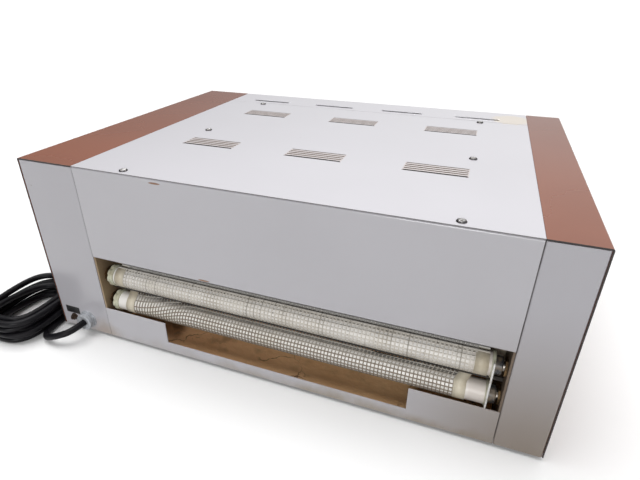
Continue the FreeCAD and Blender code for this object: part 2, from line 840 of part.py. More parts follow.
bush_start = left_face - bearing_tail
bush_run = (left_hub - bush_start, 0, 0)
journal_bore = flats(journal_radius + journal_play, small_sides)
bushes = []
for y, z in axes:
    barrel = bar(small_sides, bearing_radius, (bush_start, y, z), bush_run)
    flange = bar(small_sides, bearing_flange, (left_in, y, z), (bearing_flange_thickness, 0, 0))
    bore = bar(small_sides, journal_bore, (bush_start, y, z), bush_run)
    bushes.append(barrel.fuse(flange).cut(bore))
bushes += [other_hand(piece, bay_middle) for piece in bushes]
parts["roller_bearings"] = group(bushes)

# Toothed belt drive from the gear motor to the lower outlet-end roller
pulley_right = pulley_left + pulley_width
belt_left = pulley_left + pulley_flange + drive_belt_side_gap
belt_right = pulley_right - pulley_flange - drive_belt_side_gap
motor_axis = under + motor_height


def tip_radius(teeth):
    """Outside radius of a toothed pulley."""
    return teeth * tooth_pitch / (2 * math.pi) - pitch_line


def pulley(teeth, y, z):
    """A toothed pulley between two flanges, solid at its middle."""
    tip = tip_radius(teeth)
    root = tip - tooth_depth
    pitch_angle = 2 * math.pi / teeth
    half_gap = tooth_gap / 2 / tip
    spots = []
    for i in range(teeth):
        middle = i * pitch_angle
        for radius, turn in (
            (root, middle - half_gap),
            (root, middle + half_gap),
            (tip, middle + half_gap),
            (tip, middle + pitch_angle - half_gap),
        ):
            spots.append(V(pulley_left, y + radius * math.sin(turn), z + radius * math.cos(turn)))
    body = Part.Face(Part.makePolygon(spots + spots[:1])).extrude(V(pulley_width, 0, 0))
    rim = tip + pulley_flange_rise
    rims = [bar(fine_sides, rim, (pulley_left, y, z), (pulley_flange, 0, 0))]
    rims.append(bar(fine_sides, rim, (pulley_right, y, z), (-pulley_flange, 0, 0)))
    return body.fuse(rims).removeSplitter()


driven = pulley(roller_teeth, front_axis, lower_axis)
pulley_seat = (pulley_left, front_axis, lower_axis)
parts["roller_pulley"] = driven.cut(bar(round_sides, journal_radius, pulley_seat, (pulley_width, 0, 0)))
bracket_face = pulley_left - boss_length
shaft_start = bracket_face - bracket_sheet - motor_shaft_depth
shaft_run = (pulley_right - shaft_start, 0, 0)
motor_shaft = bar(round_sides, motor_shaft_radius, (shaft_start, motor_at, motor_axis), shaft_run)
parts["motor_pulley"] = pulley(motor_teeth, motor_at, motor_axis).fuse(motor_shaft).removeSplitter()


def drive_outline(grow):
    """The section of a belt that runs round both pulleys, a given distance outside their teeth."""
    r0 = tip_radius(roller_teeth) + grow
    r1 = tip_radius(motor_teeth) + grow
    c0 = V(0, front_axis, lower_axis)
    c1 = V(0, motor_at, motor_axis)
    heading = math.atan2(motor_axis - lower_axis, motor_at - front_axis)
    lean = math.acos((r0 - r1) / (c1 - c0).Length)

    spots = []
    for centre, radius, start, swing in (
        (c0, r0, heading + lean, 2 * math.pi - 2 * lean),
        (c1, r1, heading - lean, 2 * lean),
    ):
        for i in range(round_sides + 1):
            turn = start + swing * i / round_sides
            spots.append(centre + V(belt_left, radius * math.cos(turn), radius * math.sin(turn)))
    return Part.makePolygon(spots + spots[:1])


band_draw = V(belt_right - belt_left, 0, 0)
band = Part.Face(drive_outline(drive_belt_gap + drive_belt_thickness)).extrude(band_draw)
parts["drive_belt"] = band.cut(Part.Face(drive_outline(drive_belt_gap)).extrude(band_draw))

# Gear motor on an angle bracket that stands on the base
gearbox_face = bracket_face - bracket_sheet
gearbox_start = gearbox_face - gearbox_length
half_box = gearbox_width / 2
motor = box(
    gearbox_start,
    gearbox_face,
    motor_at - half_box,
    motor_at + half_box,
    motor_axis - half_box,
    motor_axis + half_box,
)
can = bar(fine_sides, motor_radius, (gearbox_start, motor_at, motor_axis), (-motor_can, 0, 0))
boss = bar(round_sides, boss_radius, (gearbox_face, motor_at, motor_axis), (bracket_sheet, 0, 0))
shaft_bore = flats(motor_shaft_radius + journal_play, round_sides)
bore_run = (pulley_left - shaft_start, 0, 0)
shaft_hole = bar(round_sides, shaft_bore, (shaft_start, motor_at, motor_axis), bore_run)
parts["gear_motor"] = motor.fuse([can, boss]).cut(shaft_hole)
angle_line = [(bracket_face - bracket_foot, base_floor), (bracket_face, base_floor)]
angle_line.append((bracket_face, motor_axis + bracket_rise))
angle = folded(angle_line, bracket_sheet, along(motor_at - bracket_width / 2), V(0, bracket_width, 0))
parts["motor_bracket"] = angle.cut(boss)

# Solid-state relays on the outside of the left wall, and a barrier terminal strip on the base
relays = []
relay_face = left_face - relay_thickness
relay_z = shelf - relay_drop - relay_height
last_element = hood_front + zone_first + (elements_per_zone - 1) * element_pitch
for i in range(2):
    y = last_element + i * zone_pitch + element_radius + relay_gap
    block = box(relay_face, left_face, y, y + relay_width, relay_z, relay_z + relay_height)
    for dy in (0, relay_width - relay_terminal):
        for dz in (0, relay_height - relay_terminal):
            x0 = relay_face - relay_terminal_rise
            y0 = y + dy
            z0 = relay_z + dz
            block = block.fuse(box(x0, relay_face, y0, y0 + relay_terminal, z0, z0 + relay_terminal))
    relays.append(block.removeSplitter())
parts["solid_state_relays"] = group(relays)

strip_end = terminal_first + terminal_ways * terminal_pitch + terminal_barrier_thickness
terminal_right = terminal_from_side + terminal_width
terminal_top = base_floor + terminal_step
terminals = box(terminal_from_side, terminal_right, terminal_first, strip_end, base_floor, terminal_top)
for i in range(terminal_ways + 1):
    y = terminal_first + i * terminal_pitch
    fin = box(
        terminal_from_side,
        terminal_right,
        y,
        y + terminal_barrier_thickness,
        base_floor,
        base_floor + terminal_barrier,
    )
    terminals = terminals.fuse(fin)
parts["terminal_block"] = terminals.removeSplitter()


# Two temperature controllers, each a square bezel on a deep case, with a sunk display and four keys
def controller(x):
    """A panel instrument seated in its cut-out."""
    half_bezel = controller_bezel / 2
    half_case = controller_cut / 2 - controller_fit
    front = far_end + controller_rise
    bezel = box(x - half_bezel, x + half_bezel, far_end, front, 0, controller_bezel)
    bezel.translate(V(0, 0, control_z - half_bezel))
    rim = [edge for edge in bezel.Edges if edge.BoundBox.YMin > front - sheet]
    bezel = bezel.makeChamfer(controller_edge, rim)
    case = box(x - half_case, x + half_case, far_end - controller_depth, far_end, 0, 2 * half_case)
    case.translate(V(0, 0, control_z - half_case))
    low = control_z + display_height / 8
    half_screen = display_width / 2
    screen = box(x - half_screen, x + half_screen, front - display_depth, front, low, low + display_height)
    body = bezel.fuse(case).cut(screen)
    key_low = control_z - half_bezel / 2 - key_height / 2
    for i in range(4):
        key_left = x + (i - 1.5) * display_width / 4 - key_width / 2
        key = box(key_left, key_left + key_width, front, front + key_rise, key_low, key_low + key_height)
        body = body.fuse(key)
    return body.removeSplitter()


parts["preheat_controller"] = controller(preheat_at)
parts["reflow_controller"] = controller(reflow_at)

# Belt speed control: a fluted knob on the shaft of a potentiometer
knob_base = far_end + pot_bush_length + knob_gap
pot_back = (knob_at, far_end - sheet, control_z)
pot_body = bar(fine_sides, pot_body_radius, pot_back, (0, -pot_body_length, 0))
pot_run = (0, sheet + pot_bush_length, 0)
pot_bush = bar(round_sides, pot_bush_radius, pot_back, pot_run)
pot_bore = flats(pot_shaft_radius + journal_play, round_sides)
parts["speed_pot"] = pot_body.fuse(pot_bush).cut(bar(round_sides, pot_bore, pot_back, pot_run))
grip = []
for i in range(2 * knob_flutes):
    turn = math.pi * i / knob_flutes
    radius = knob_radius - knob_flute * (i % 2)
    grip.append(V(knob_at + radius * math.sin(turn), knob_base, control_z + radius * math.cos(turn)))
knob = Part.Face(Part.makePolygon(grip + grip[:1])).extrude(V(0, knob_height, 0))
skirt = bar(fine_sides, knob_skirt_radius, (knob_at, knob_base, control_z), (0, knob_skirt, 0))
knob_shaft_run = (0, knob_base + knob_skirt - far_end, 0)
knob_shaft = bar(round_sides, pot_shaft_radius, (knob_at, far_end, control_z), knob_shaft_run)
parts["speed_knob"] = knob.fuse([skirt, knob_shaft]).removeSplitter()

# Two push buttons, each a cap that slides in a flanged barrel
bezels = []
cap_run = button_depth + button_bezel_rise + button_rise
for name, x in (("heater_button", heater_button_at), ("conveyor_button", conveyor_button_at)):
    barrel = bar(round_sides, button_barrel_radius, (x, far_end, control_z), (0, -button_barrel_length, 0))
    collar = bar(fine_sides, button_bezel_radius, (x, far_end, control_z), (0, button_bezel_rise, 0))
    bore_end = (x, far_end - button_barrel_length + sheet, control_z)
    cap_bore = flats(button_cap_radius + button_gap, round_sides)
    bore = bar(round_sides, cap_bore, bore_end, (0, 2 * button_barrel_length, 0))
    bezels.append(barrel.fuse(collar).cut(bore))
    cap_radius = flats(button_cap_radius, round_sides)
    cap = bar(round_sides, cap_radius, (x, far_end - button_depth, control_z), (0, cap_run, 0))
    rim = [edge for edge in cap.Edges if edge.BoundBox.YMin > far_end + button_bezel_rise]
    parts[name] = cap.makeChamfer(bend, rim)
parts["button_bezels"] = group(bezels)

# Power switch: a rocker on a pin across its frame, lying at its off side
pivot_y = far_end - switch_bezel_rise
frame_box = box(
    power_switch_at - switch_half_x,
    power_switch_at + switch_half_x,
    far_end - switch_body_depth,
    far_end,
    control_z - switch_half_z,
    control_z + switch_half_z,
)
lip = box(
    power_switch_at - switch_width / 2,
    power_switch_at + switch_width / 2,
    far_end,
    far_end + switch_bezel_rise,
    control_z - switch_height / 2,
    control_z + switch_height / 2,
)
lip_rim = [edge for edge in lip.Edges if edge.BoundBox.YMin > far_end + bend]
lip = lip.makeChamfer(bend, lip_rim)
pocket_x = rocker_width / 2 + rocker_gap
pocket_z = rocker_radius + rocker_gap
pocket = box(
    power_switch_at - pocket_x,
    power_switch_at + pocket_x,
    pivot_y - rocker_radius - rocker_gap,
    far_end + 2 * switch_bezel_rise,
    control_z - pocket_z,
    control_z + pocket_z,
)
pin_half = rocker_width / 2 + rocker_pin_length
pin_start = power_switch_at - pin_half
pin_bore = flats(rocker_pin_radius + journal_play, round_sides)
hole_start = (pin_start - rocker_gap, pivot_y, control_z)
pin_hole = bar(round_sides, pin_bore, hole_start, (2 * pin_half + 2 * rocker_gap, 0, 0))
parts["power_switch_frame"] = frame_box.fuse(lip).cut(pocket).cut(pin_hole).removeSplitter()

rocker_left = power_switch_at - rocker_width / 2
rocker = rod_x(rocker_radius, rocker_left, rocker_left + rocker_width, pivot_y, control_z)
crest = pivot_y + rocker_crown
wing = crest + rocker_radius * math.tan(math.radians(rocker_tilt))
back = pivot_y - rocker_crown
keep_line = [(back, control_z - rocker_radius), (back, control_z + rocker_radius)]
keep_line += [(wing, control_z + rocker_radius), (crest, control_z), (wing, control_z - rocker_radius)]
keep_points = [V(rocker_left, y, z) for y, z in keep_line]
keep = Part.Face(Part.makePolygon(keep_points + keep_points[:1])).extrude(V(rocker_width, 0, 0))
pin = bar(round_sides, rocker_pin_radius, (pin_start, pivot_y, control_z), (2 * pin_half, 0, 0))
rocker = rocker.common(keep).fuse(pin).removeSplitter()
rocker.rotate(V(power_switch_at, pivot_y, control_z), V(1, 0, 0), -rocker_tilt)
parts["power_switch_rocker"] = rocker

# Metal cable gland in the left post, with its clamping nut outside and its lock nut inside, and an earth stud
gland_face = (gland_at, 0, gland_z)
flange = bar(fine_sides, gland_flange_radius, gland_face, (0, -gland_flange, 0))
barrel = bar(fine_sides, gland_barrel_radius, gland_face, (0, gland_barrel, 0))
parts["gland_body"] = flange.fuse(barrel)
nut_seat = (gland_at, -gland_flange, gland_z)
straight = 2 * gland_nut_length / 3
nut_step = (gland_at, -gland_flange - straight, gland_z)
clamp_nut = bar(fine_sides, gland_nut_radius, nut_seat, (0, -straight, 0))
nose = bar(fine_sides, gland_nut_radius, nut_step, (0, straight - gland_nut_length, 0), gland_nut_mouth)
cord_bore = flats(cord_radius + gland_bore_gap, round_sides)
cord_hole = bar(round_sides, cord_bore, nut_seat, (0, -gland_nut_length, 0))
clamp_nut = clamp_nut.fuse(nose).cut(cord_hole)
lock_nut = bar(6, lock_nut_radius, (gland_at, sheet, gland_z), (0, lock_nut_thickness, 0)).cut(barrel)
parts["gland_nuts"] = group([clamp_nut, lock_nut])

earth_seat = (earth_at, -earth_washer_thickness, earth_z)
washer = bar(round_sides, earth_washer_radius, earth_seat, (0, earth_washer_thickness, 0))
nut = bar(6, earth_nut_radius, earth_seat, (0, -earth_nut_thickness, 0))
stud = bar(small_sides, earth_stud_radius, (earth_at, -earth_reach, earth_z), (0, earth_reach + 3 * sheet, 0))
parts["earth_terminal"] = stud.fuse([washer, nut])

# Mains lead: out of the gland, round the corner of the case, into a pile of loops beside it, and to its plug
floor_line = cord_radius + cord_lay
strand_x = -coil_from_side + coil_radius
layer_pitch = cord_diameter + coil_gap
loop_start = coil_middle + coil_run / 2 - coil_lead_in
loop_end = coil_middle + coil_run / 2
pile_top = floor_line + (coil_layers - 1) * layer_pitch
plug_axis = plug_thickness / 2 + cord_lay
lead_points = [
    (gland_at, -gland_flange, gland_z),
    (gland_at, -28.0, gland_z),
    (24.0, -38.0, 15.0),
    (4.0, -37.0, 7.5),
    (strand_x, -21.0, floor_line),
    (strand_x, loop_start, floor_line),
]
tail_points = [
    (strand_x, loop_end, pile_top),
    (strand_x, 38.0, pile_top),
    (-12.0, 62.0, 23.0),
    (-15.0, 84.0, plug_axis),
    (-15.0, 106.0, plug_axis),
]


def cord_path(name, points):
    """Straight runs joined by tangent arcs, each as large as its two runs allow."""
    spots = [V(*point) for point in points]
    edges = []
    radii = []
    here = spots[0]
    for before, corner, after in zip(spots, spots[1:], spots[2:]):
        back = before - corner
        ahead = after - corner
        shorter = min(back.Length, ahead.Length)
        turn = math.pi - back.getAngle(ahead)
        radius = 0.45 * shorter / math.tan(turn / 2)
        radii.append(round(radius, 1))
        back.normalize()
        ahead.normalize()
        inwards = back + ahead
        inwards.normalize()
        arc_in = corner + back * (0.45 * shorter)
        arc_out = corner + ahead * (0.45 * shorter)
        middle = corner + inwards * (radius / math.cos(turn / 2) - radius)
        edges.append(Part.makeLine(here, arc_in))
        edges.append(Part.Arc(arc_in, middle, arc_out).toShape())
        here = arc_out
    edges.append(Part.makeLine(here, spots[-1]))
    print(name, "bend radii", radii)
    return Part.Wire(edges)


def tube(name, path):
    """A many-sided tube of the cord's diameter along a path of runs and arcs."""
    first = path.OrderedEdges[0]
    here = first.valueAt(first.FirstParameter)
    section = ring(small_sides, cord_radius, here, first.tangentAt(first.FirstParameter))
    rings = [section]
    for edge in path.OrderedEdges:
        steps = 1
        if edge.Curve.TypeId == "Part::GeomCircle":
            swing = edge.LastParameter - edge.FirstParameter
            steps = math.ceil(swing / math.radians(cord_chord))
        turned_round = edge.Orientation == "Reversed"
        for i in range(1, steps + 1):
            share = (steps - i) / steps if turned_round else i / steps
            parameter = edge.FirstParameter + share * (edge.LastParameter - edge.FirstParameter)
            there = edge.valueAt(parameter)
            if steps == 1 and edge.Curve.TypeId == "Part::GeomLine":
                section = [corner + there - here for corner in section]
            else:
                step_angle = -swing / steps if turned_round else swing / steps
                spin = FreeCAD.Rotation(edge.Curve.Axis, math.degrees(step_angle))
                section = [there + spin.multVec(corner - here) for corner in section]
            rings.append(section)
            here = there
    solid = skin(rings)
    expected = Part.Face(Part.makePolygon(section + section[:1])).Area * path.Length
    print(name, "length", round(path.Length, 1), "volume over expected", round(solid.Volume / expected, 4))
    return solid


parts["power_cord"] = tube("power_cord", cord_path("power_cord", lead_points))
parts["cord_tail"] = tube("cord_tail", cord_path("cord_tail", tail_points))

# The pile: loops of two runs and two half turns that spiral in on one layer and out on the next, and climb a
# layer along a run wherever the spiral turns back
half_step = layer_pitch / 2
rear_y = coil_middle + coil_run / 2
front_y = coil_middle - coil_run / 2
coil_edges = []
spot = V(strand_x, loop_start, floor_line)


def run_to(y, z):
    """A run along Y, straight where it is level, and an S of two equal arcs where it climbs."""
    global spot
    end = V(spot.x, y, z)
    if abs(z - spot.z) < 1e-6:
        coil_edges.append(Part.makeLine(spot, end))
    else:
        half_way = (spot + end) * 0.5
        length = abs(y - spot.y)
        climb = z - spot.z
        radius = (length**2 + climb**2) / (4 * climb)
        way = 1 if y > spot.y else -1
        swing = math.asin(length / 2 / radius) / 2
        dy = way * radius * math.sin(swing)
        dz = radius * (1 - math.cos(swing))
        coil_edges.append(Part.Arc(spot, spot + V(0, dy, dz), half_way).toShape())
        coil_edges.append(Part.Arc(half_way, end - V(0, dy, dz), end).toShape())
    spot = end


def half_turn(x, way):
    """Half a turn, level, over to a run at another X."""
    global spot
    radius = abs(x - spot.x) / 2
    end = V(x, spot.y, spot.z)
    coil_edges.append(Part.Arc(spot, (spot + end) * 0.5 + V(0, way * radius, 0), end).toShape())
    spot = end


outer = coil_radius
inner = coil_radius - layer_pitch
run_to(rear_y, floor_line)
for pair in range(coil_layers // 2):
    level = floor_line + 2 * pair * layer_pitch
    half_turn(-coil_from_side - outer, 1)
    run_to(front_y, level)
    half_turn(-coil_from_side + inner, -1)
    run_to(rear_y, level)
    half_turn(-coil_from_side - inner, 1)
    run_to(front_y, level + layer_pitch)
    half_turn(-coil_from_side + inner, -1)
    run_to(rear_y, level + layer_pitch)
    half_turn(-coil_from_side - outer, 1)
    run_to(front_y, level + layer_pitch)
    half_turn(-coil_from_side + outer, -1)
    run_to(rear_y, min(level + 2 * layer_pitch, pile_top))
coil_path = Part.Wire(coil_edges)
parts["cord_coil"] = tube("cord_coil", coil_path)


def least_gap(path, step, skip):
    """Least gap between stretches of a tube that lie further apart along it than skip."""
    count = int(path.Length / step)
    samples = path.discretize(Number=count)
    away = int(skip / step)
    least = min((a - b).Length for i, a in enumerate(samples) for b in samples[i + away :])
    return least - cord_diameter


print("cord_coil least gap to itself", round(least_gap(coil_path, 3.0, 60.0), 2))

# Moulded plug with its tapered relief and its three pins
plug_x, plug_y, plug_z = tail_points[-1]
relief_end = plug_y + relief_length
plug_end = relief_end + plug_length
relief = bar(fine_sides, relief_small_radius, tail_points[-1], (0, relief_length, 0), relief_large_radius)
block = box(
    plug_x - plug_width / 2,
    plug_x + plug_width / 2,
    relief_end,
    plug_end,
    plug_z - plug_thickness / 2,
    plug_z + plug_thickness / 2,
)
sides = [edge for edge in block.Edges if abs(edge.tangentAt(edge.FirstParameter).y) > 0.9]
block = block.makeFillet(plug_round, sides)
parts["plug"] = relief.fuse(block).removeSplitter()
pins = []
for way in (-1, 1):
    x = plug_x + way * blade_pitch / 2
    blade = box(
        x - blade_thickness / 2,
        x + blade_thickness / 2,
        plug_end,
        plug_end + blade_length,
        plug_z - blade_width / 2 + earth_pin_radius,
        plug_z + blade_width / 2 + earth_pin_radius,
    )
    pins.append(blade)
earth_pin_root = (plug_x, plug_end, plug_z - earth_pin_drop)
pins.append(bar(round_sides, earth_pin_radius, earth_pin_root, (0, earth_pin_length, 0)))
parts["plug_pins"] = group(pins)

# Saved from the middle of the foot
os.makedirs("parts", exist_ok=True)
to_middle = V(-case_width / 2, -middle_y, 0)
for name, shape in parts.items():
    shape.translate(to_middle)
    shape.exportStep("parts/" + name + ".step")
print(len(parts), "nodes")
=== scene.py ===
import bmesh
import bpy
import math
from mathutils import Matrix, Vector


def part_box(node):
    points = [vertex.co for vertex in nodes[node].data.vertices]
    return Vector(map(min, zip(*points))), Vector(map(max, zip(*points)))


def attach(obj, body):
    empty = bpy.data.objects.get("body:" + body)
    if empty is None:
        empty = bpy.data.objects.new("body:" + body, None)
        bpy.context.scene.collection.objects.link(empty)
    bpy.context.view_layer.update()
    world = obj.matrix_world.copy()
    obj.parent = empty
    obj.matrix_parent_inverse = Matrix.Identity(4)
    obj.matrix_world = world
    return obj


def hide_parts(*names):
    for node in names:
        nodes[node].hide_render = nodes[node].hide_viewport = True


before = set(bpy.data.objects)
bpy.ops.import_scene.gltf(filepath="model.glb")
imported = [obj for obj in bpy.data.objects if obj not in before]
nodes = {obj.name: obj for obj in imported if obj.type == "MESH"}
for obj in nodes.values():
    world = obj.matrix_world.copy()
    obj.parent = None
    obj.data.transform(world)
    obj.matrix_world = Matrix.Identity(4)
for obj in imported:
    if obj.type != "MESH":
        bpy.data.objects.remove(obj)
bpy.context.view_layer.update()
scene = bpy.context.scene

# Viewpoint: the oven is seen from its outlet end, from above and a little to the right, through a short lens.
# The camera stands close, well above the case, and its frame is shifted slightly off the lens's axis.
camera_data = bpy.data.cameras.new("viewpoint")
camera_data.lens = 26.1
camera_data.sensor_width = 36.0
camera_data.shift_x = 0.0152
camera_data.shift_y = -0.0179
camera = bpy.data.objects.new("viewpoint", camera_data)
camera.matrix_world = Matrix((
    (0.9373, -0.1607, 0.3094, 0.1913),
    (0.3486, 0.4294, -0.8331, -0.57385),
    (0.0010, 0.8887, 0.4585, 0.4104),
    (0.0, 0.0, 0.0, 1.0),
))
scene.collection.objects.link(camera)
scene.camera = camera

# Mains lead: a round three-core cable in a black PVC sheath, clamped in a gland at the foot of the left post.
# It turns round the corner of the case into a loose pile of loops beside it, and ends in a moulded plug.
cord_diameter = 0.0084
floor_line = 4.4
layer_pitch = 9.2
gland_x, gland_z = 45.0, 22.0
plug_x, plug_start, plug_z = -15.0, 106.0, 11.2
coil_turns = 6
points_per_turn = 14
turns_per_layer = 1.5
turns_to_climb = 0.3
coil_middle = (-51.0, -2.0)
loop_half_width = 31.0
loop_half_sway = 9.0
sway_turns = 3
loop_longer_by = 16.0
loop_roundness = 0.66
layer_shift = [(0.0, 0.0, 0.0), (-1.0, 2.5, 4.0), (1.0, -2.0, -5.0), (-1.5, 2.0, 3.0)]


def at(x, y, z):
    """A point in metres from millimetres off the left corner of the outlet end, at the floor."""
    return Vector((x / 1000 - 0.3, y / 1000 - 0.21475, z / 1000))


def node(tree, kind, values, **settings):
    """A node with its settings made and its inputs filled or linked."""
    made = tree.nodes.new(kind)
    for key, value in settings.items():
        setattr(made, key, value)
    for key, value in values.items():
        if isinstance(value, bpy.types.NodeSocket):
            tree.links.new(value, made.inputs[key])
        else:
            made.inputs[key].default_value = value
    return made


def result(tree, kind, values, **settings):
    """The first output of a new node."""
    return node(tree, kind, values, **settings).outputs[0]


def ramp(value, first, last, low=0.0, high=1.0, kind="LINEAR"):
    """A value carried from one span to another and held at its ends."""
    values = {"Value": value, "From Min": first, "From Max": last, "To Min": low, "To Max": high}
    return result(value.id_data, "ShaderNodeMapRange", values, interpolation_type=kind)


def noise(where, scale, detail):
    """Cloudy noise: its value and its colour."""
    values = {"Vector": where, "Scale": scale, "Detail": detail}
    return node(where.id_data, "ShaderNodeTexNoise", values).outputs


def mask_group(name, inputs, output="Mask"):
    """An empty shader node group with number and vector inputs and one value out."""
    tree = bpy.data.node_groups.new(name, "ShaderNodeTree")
    for label in inputs:
        kind = "NodeSocketVector" if label in ("Vector", "Centre") else "NodeSocketFloat"
        tree.interface.new_socket(label, in_out="INPUT", socket_type=kind)
    tree.interface.new_socket(output, in_out="OUTPUT", socket_type="NodeSocketFloat")
    return tree, tree.nodes.new("NodeGroupInput").outputs


# Cloudy patches of stain, dust or fading.
patches, inlet = mask_group("patches", ("Vector", "Scale", "From", "To"))
cloud = noise(inlet["Vector"], inlet["Scale"], 6.0)["Fac"]
cloud = ramp(cloud, inlet["From"], inlet["To"], kind="SMOOTHSTEP")
node(patches, "NodeGroupOutput", {"Mask": cloud})

# Fine height of a moulded or sprayed skin.
grain, inlet = mask_group("grain", ("Vector", "Scale"), "Height")
node(grain, "NodeGroupOutput", {"Height": noise(inlet["Vector"], inlet["Scale"], 4.0)["Fac"]})


def mask_of(group, where, *values):
    """The value that a node group gives at a place, with its other inputs filled in their order."""
    return result(where.id_data, "ShaderNodeGroup", dict(enumerate((where, *values))), node_tree=group)


def patch(where, scale, low, high):
    """A cloudy mask."""
    return mask_of(patches, where, scale, low, high)


def skin_of(where, scale, strength, depth):
    """A bumped normal from a fine grain."""
    bump = {"Height": mask_of(grain, where, scale), "Strength": strength, "Distance": depth}
    return node(where.id_data, "ShaderNodeBump", bump).outputs["Normal"]


def tint(mask, under, over):
    """One colour laid over another by a mask."""
    tree = mask.id_data
    made = tree.nodes.new("ShaderNodeMix")
    made.data_type = "RGBA"
    for socket, value in ((made.inputs[0], mask), (made.inputs[6], under), (made.inputs[7], over)):
        if isinstance(value, bpy.types.NodeSocket):
            tree.links.new(value, socket)
        else:
            socket.default_value = value if isinstance(value, float) else (*value, 1.0)
    return made.outputs[2]


def share(value, low, high):
    """A value from 0 to 1 set between two others."""
    return ramp(value, 0.0, 1.0, low, high)


def new_finish(name, sockets):
    """A material with its shader's fixed sockets set: the material, its coordinates and its shader."""
    material = bpy.data.materials.new(name)
    material.use_nodes = True
    placed = material.node_tree.nodes.new("ShaderNodeTexCoord")
    shader = material.node_tree.nodes["Principled BSDF"]
    for key, value in sockets.items():
        shader.inputs[key].default_value = value
    return material, placed.outputs["Object"], shader


def lay_on(shader, base, rough=None, skin=None):
    """Links a finish's varying colour, roughness and skin to its shader."""
    for socket, value in (("Base Color", base), ("Roughness", rough), ("Normal", skin)):
        if value is not None:
            base.id_data.links.new(value, shader.inputs[socket])


def mottled(name, sockets, cloud, colours, rough=None, skin=None):
    """A finish of two colours in cloudy patches, with its roughness by the same patches and a fine skin."""
    material, where, shader = new_finish(name, sockets)
    mask = patch(where, *cloud)
    rough = share(mask, *rough) if rough else None
    lay_on(shader, tint(mask, *colours), rough, skin_of(where, *skin) if skin else None)
    return material


def add_piece(name, data, body="chassis"):
    """A new piece in the scene that rides on a body."""
    piece = bpy.data.objects.new(name, data)
    scene.collection.objects.link(piece)
    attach(piece, body)
    return piece


lead = [(gland_x, -4.0, gland_z), (gland_x, -28.0, gland_z), (24.0, -38.0, 15.0), (4.0, -37.0, 7.5)]
lead += [(-8.5, -21.0, floor_line)]
tail = [(-9.0, 38.0, 32.0), (-12.0, 62.0, 23.0), (plug_x, 84.0, plug_z), (plug_x, plug_start, plug_z)]
coil = []
for i in range(1, coil_turns * points_per_turn + 1):
    turn = i / points_per_turn
    reach = loop_half_width + loop_half_sway * abs(turn % sway_turns - sway_turns / 2)
    climb = (turn + turns_to_climb / 2) / turns_per_layer
    layer = min(int(climb), len(layer_shift) - 1)
    rise = min((climb - layer) * turns_per_layer / turns_to_climb, 1.0) if layer else 1.0
    rise = rise * rise * (3 - 2 * rise)
    below = layer_shift[max(layer - 1, 0)]
    dx, dy, lean = (a + (b - a) * rise for a, b in zip(below, layer_shift[layer]))
    angle = 2 * math.pi * turn
    cos, sin = math.cos(angle), math.sin(angle)
    x = reach * math.copysign(abs(cos) ** loop_roundness, cos)
    y = (reach + loop_longer_by) * math.copysign(abs(sin) ** loop_roundness, sin)
    lean = math.radians(lean)
    level = max(layer - 1 + rise, 0.0)
    x, y = x * math.cos(lean) - y * math.sin(lean), x * math.sin(lean) + y * math.cos(lean)
    coil.append((coil_middle[0] + dx + x, coil_middle[1] + dy + y, floor_line + layer_pitch * level))
route = [at(*point) for point in lead + coil + tail]
curve = bpy.data.curves.new("mains_lead", "CURVE")
curve.dimensions = "3D"
curve.bevel_depth = cord_diameter / 2
curve.bevel_resolution = 5
curve.resolution_u = 8
curve.use_fill_caps = True
spline = curve.splines.new("NURBS")
spline.points.add(len(route) - 1)
for point, place in zip(spline.points, route):
    point.co = (*place, 1.0)
spline.order_u = 3
spline.use_endpoint_u = True
curve.materials.append(mottled(
    "black_sheath", {"Specular IOR Level": 0.18}, (55.0, 0.42, 0.75),
    ((0.0035, 0.0032, 0.0048), (0.009, 0.008, 0.010)), (0.38, 0.58), (700.0, 0.12, 0.0004),
))
mains_lead = add_piece("mains_lead", curve)
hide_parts("power_cord", "cord_coil", "cord_tail")

# Setting: a plain pale floor under wide soft light from above, in a room that is brightest behind the oven.
# A lamp in front lights the end panels, and the floor throws no soft light back up at the part.
floor_reach = 30.0
floor_corners = [(x * floor_reach, y * floor_reach, 0.0) for x, y in ((-1, -1), (1, -1), (1, 1), (-1, 1))]
floor_mesh = bpy.data.meshes.new("floor")
floor_mesh.from_pydata(floor_corners, [], [(0, 1, 2, 3)])
floor = bpy.data.objects.new("floor", floor_mesh)
scene.collection.objects.link(floor)
floor.visible_diffuse = False
floor_mesh.materials.append(mottled(
    "pale_floor", {"Roughness": 0.9, "Specular IOR Level": 0.1}, (1.2, 0.3, 0.8),
    ((0.84, 0.84, 0.84), (0.87, 0.87, 0.87)),
))


def vector(operation, one, other):
    """Two vectors put together."""
    return node(one.id_data, "ShaderNodeVectorMath", {0: one, 1: other}, operation=operation).outputs


def reckon(operation, one, other, **settings):
    """Two numbers put together, at least one of them from a node."""
    tree = one.id_data if isinstance(one, bpy.types.NodeSocket) else other.id_data
    return result(tree, "ShaderNodeMath", {0: one, 1: other}, operation=operation, **settings)


